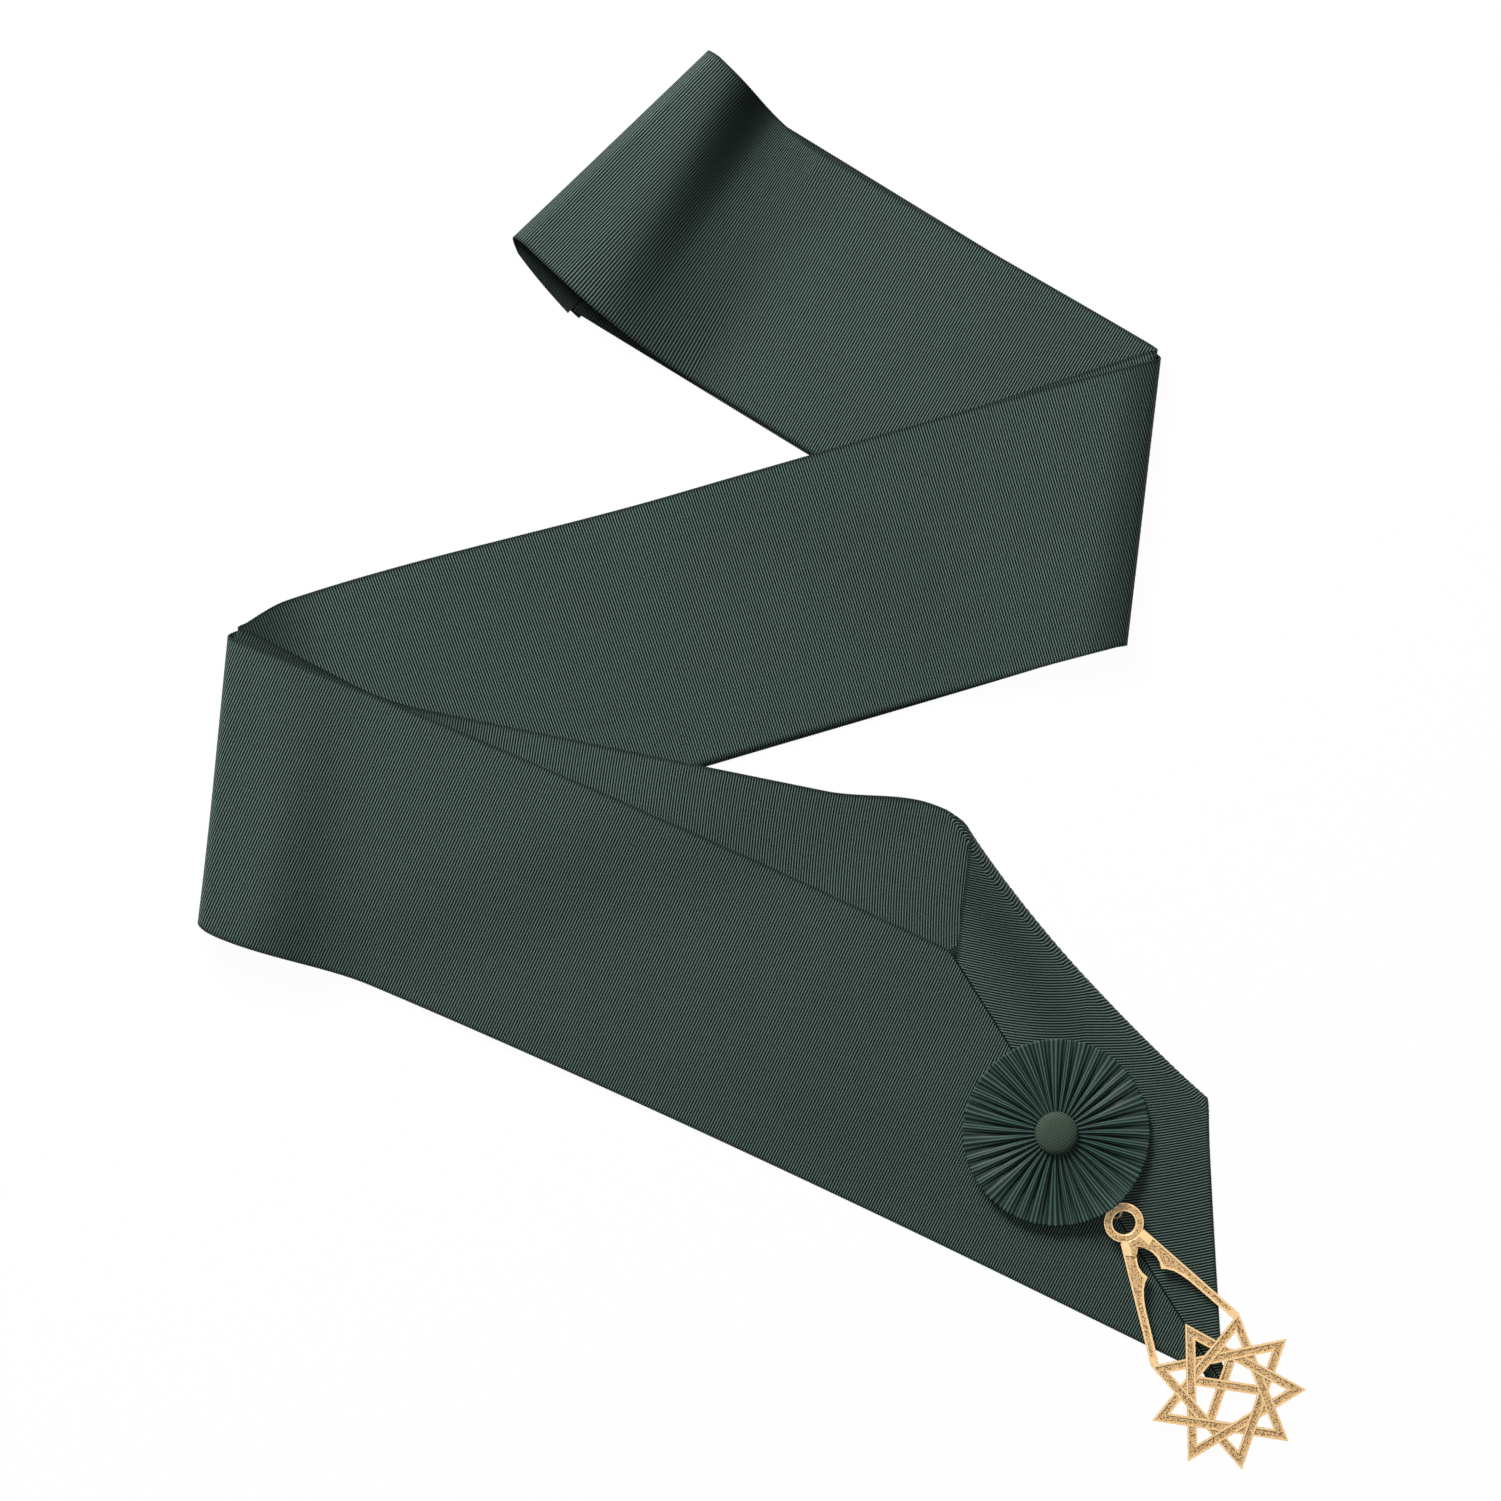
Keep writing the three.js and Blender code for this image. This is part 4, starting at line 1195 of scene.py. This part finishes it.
class SASH_OT_link(bpy.types.Operator):
    """Make the link that the jewel hangs on, and the eye that is sewn to the ribbon"""

    bl_idname = "sash.link"
    bl_label = "Link and eye"

    def execute(self, context):
        sizes = context.scene.sash_jewel
        paint = Paint("Link wire", Metallic=0.35, Roughness=0.3)
        wear = paint.noise(paint.place(), 900, 2.0)
        paint.show(Base_Color=paint.mixed(wear, solid(sizes.link, 0.7), solid(sizes.link)))
        for node, name in (("jump_ring", "link_wire"), ("sewn_eye", "eye_wire")):
            piece = metal_copy(node, name, paint)
            piece.data.shade_smooth()
            finer = piece.modifiers.new("Finer wire", "SUBSURF")
            finer.levels = 2
            finer.render_levels = 2
            tell(piece, "link_metal", node)
        return {"FINISHED"}


class SASH_OT_stage(bpy.types.Operator):
    """Set up the floor, the soft light and the camera"""

    bl_idname = "sash.stage"
    bl_label = "Stage"

    def execute(self, context):
        sizes = context.scene.sash_stage
        make_floor(sizes)
        make_light(sizes)
        make_camera(context.scene, sizes)
        return {"FINISHED"}


# Where the soft lights stand, one low, above the middle of the view and to its left, and one overhead
KEY_PLACE = (-0.72, 1.4, 1.12)
KEY_SIDE = 0.8
TOP_PLACE = (0, 0, 3.6)
TOP_SIDE = 1.4
# Middle of the view on the floor, and the floor's half side
VIEW_MIDDLE = (-0.00075, 0.00373)
FLOOR_HALF = 3.0
WHITE = (1, 1, 1)


def make_floor(sizes):
    paint = Paint(
        "Pale floor", Roughness=0.9, Specular_IOR_Level=0.0, Emission_Color=solid(WHITE),
        Base_Color=solid(WHITE, 0.9 * (1 - sizes.floor_glow)), Emission_Strength=sizes.floor_glow)
    corners = [(x * FLOOR_HALF, y * FLOOR_HALF, 0) for x, y in ((-1, -1), (1, -1), (1, 1), (-1, 1))]
    floor = mesh_piece("pale_floor", corners, [(0, 1, 2, 3)], paint)


def make_lamp(name, side, power, place):
    """A square soft light turned to the middle of the floor."""
    lamp = bpy.data.lights.new(name, "AREA")
    lamp.shape = "SQUARE"
    lamp.size = side
    lamp.energy = power
    light = bpy.data.objects.new(name, lamp)
    light.location = place
    light.rotation_euler = (-Vector(place)).to_track_quat("-Z", "Y").to_euler()
    bpy.context.scene.collection.objects.link(light)


def make_light(sizes):
    world = bpy.data.worlds.new("Even sky")
    world.use_nodes = True
    sky = world.node_tree.nodes["Background"]
    sky.inputs["Color"].default_value = solid(WHITE)
    sky.inputs["Strength"].default_value = sizes.sky
    bpy.context.scene.world = world
    make_lamp("soft_key", KEY_SIDE, sizes.key_power, KEY_PLACE)
    make_lamp("soft_top", TOP_SIDE, sizes.top_power, TOP_PLACE)


def make_camera(scene, sizes):
    lens = bpy.data.cameras.new("camera")
    lens.lens = sizes.lens
    lens.sensor_width = 36
    lens.clip_end = 20
    camera = bpy.data.objects.new("camera", lens)
    camera.location = (*VIEW_MIDDLE, sizes.view_side * sizes.lens / lens.sensor_width)
    scene.collection.objects.link(camera)
    scene.camera = camera
    scene.view_settings.view_transform = "Standard"


class SASH_PT_panel(bpy.types.Panel):
    """Lists the steps that make the sash"""

    bl_idname = "SASH_PT_panel"
    bl_label = "Sash"
    bl_space_type = "VIEW_3D"
    bl_region_type = "UI"
    bl_category = "Sash"

    def draw(self, context):
        for step in STEPS:
            self.layout.operator(step.bl_idname)


STEPS = (SASH_OT_straps, SASH_OT_rosette, SASH_OT_button, SASH_OT_jewel, SASH_OT_link, SASH_OT_stage)
GROUPS = {
    "sash_ribbon": RibbonSettings,
    "sash_rosette": RosetteSettings,
    "sash_jewel": JewelSettings,
    "sash_stage": StageSettings,
}


def register():
    for group in GROUPS.values():
        bpy.utils.register_class(group)
    for name, group in GROUPS.items():
        setattr(bpy.types.Scene, name, PointerProperty(type=group))
    for step in STEPS:
        bpy.utils.register_class(step)
    bpy.utils.register_class(SASH_PT_panel)


def unregister():
    bpy.utils.unregister_class(SASH_PT_panel)
    for step in reversed(STEPS):
        bpy.utils.unregister_class(step)
    for name, group in GROUPS.items():
        delattr(bpy.types.Scene, name)
        bpy.utils.unregister_class(group)


def main():
    register()
    bpy.ops.sash.straps()
    bpy.ops.sash.rosette()
    bpy.ops.sash.button()
    bpy.ops.sash.jewel()
    bpy.ops.sash.link()
    bpy.ops.sash.stage()


if __name__ == "__main__":
    main()
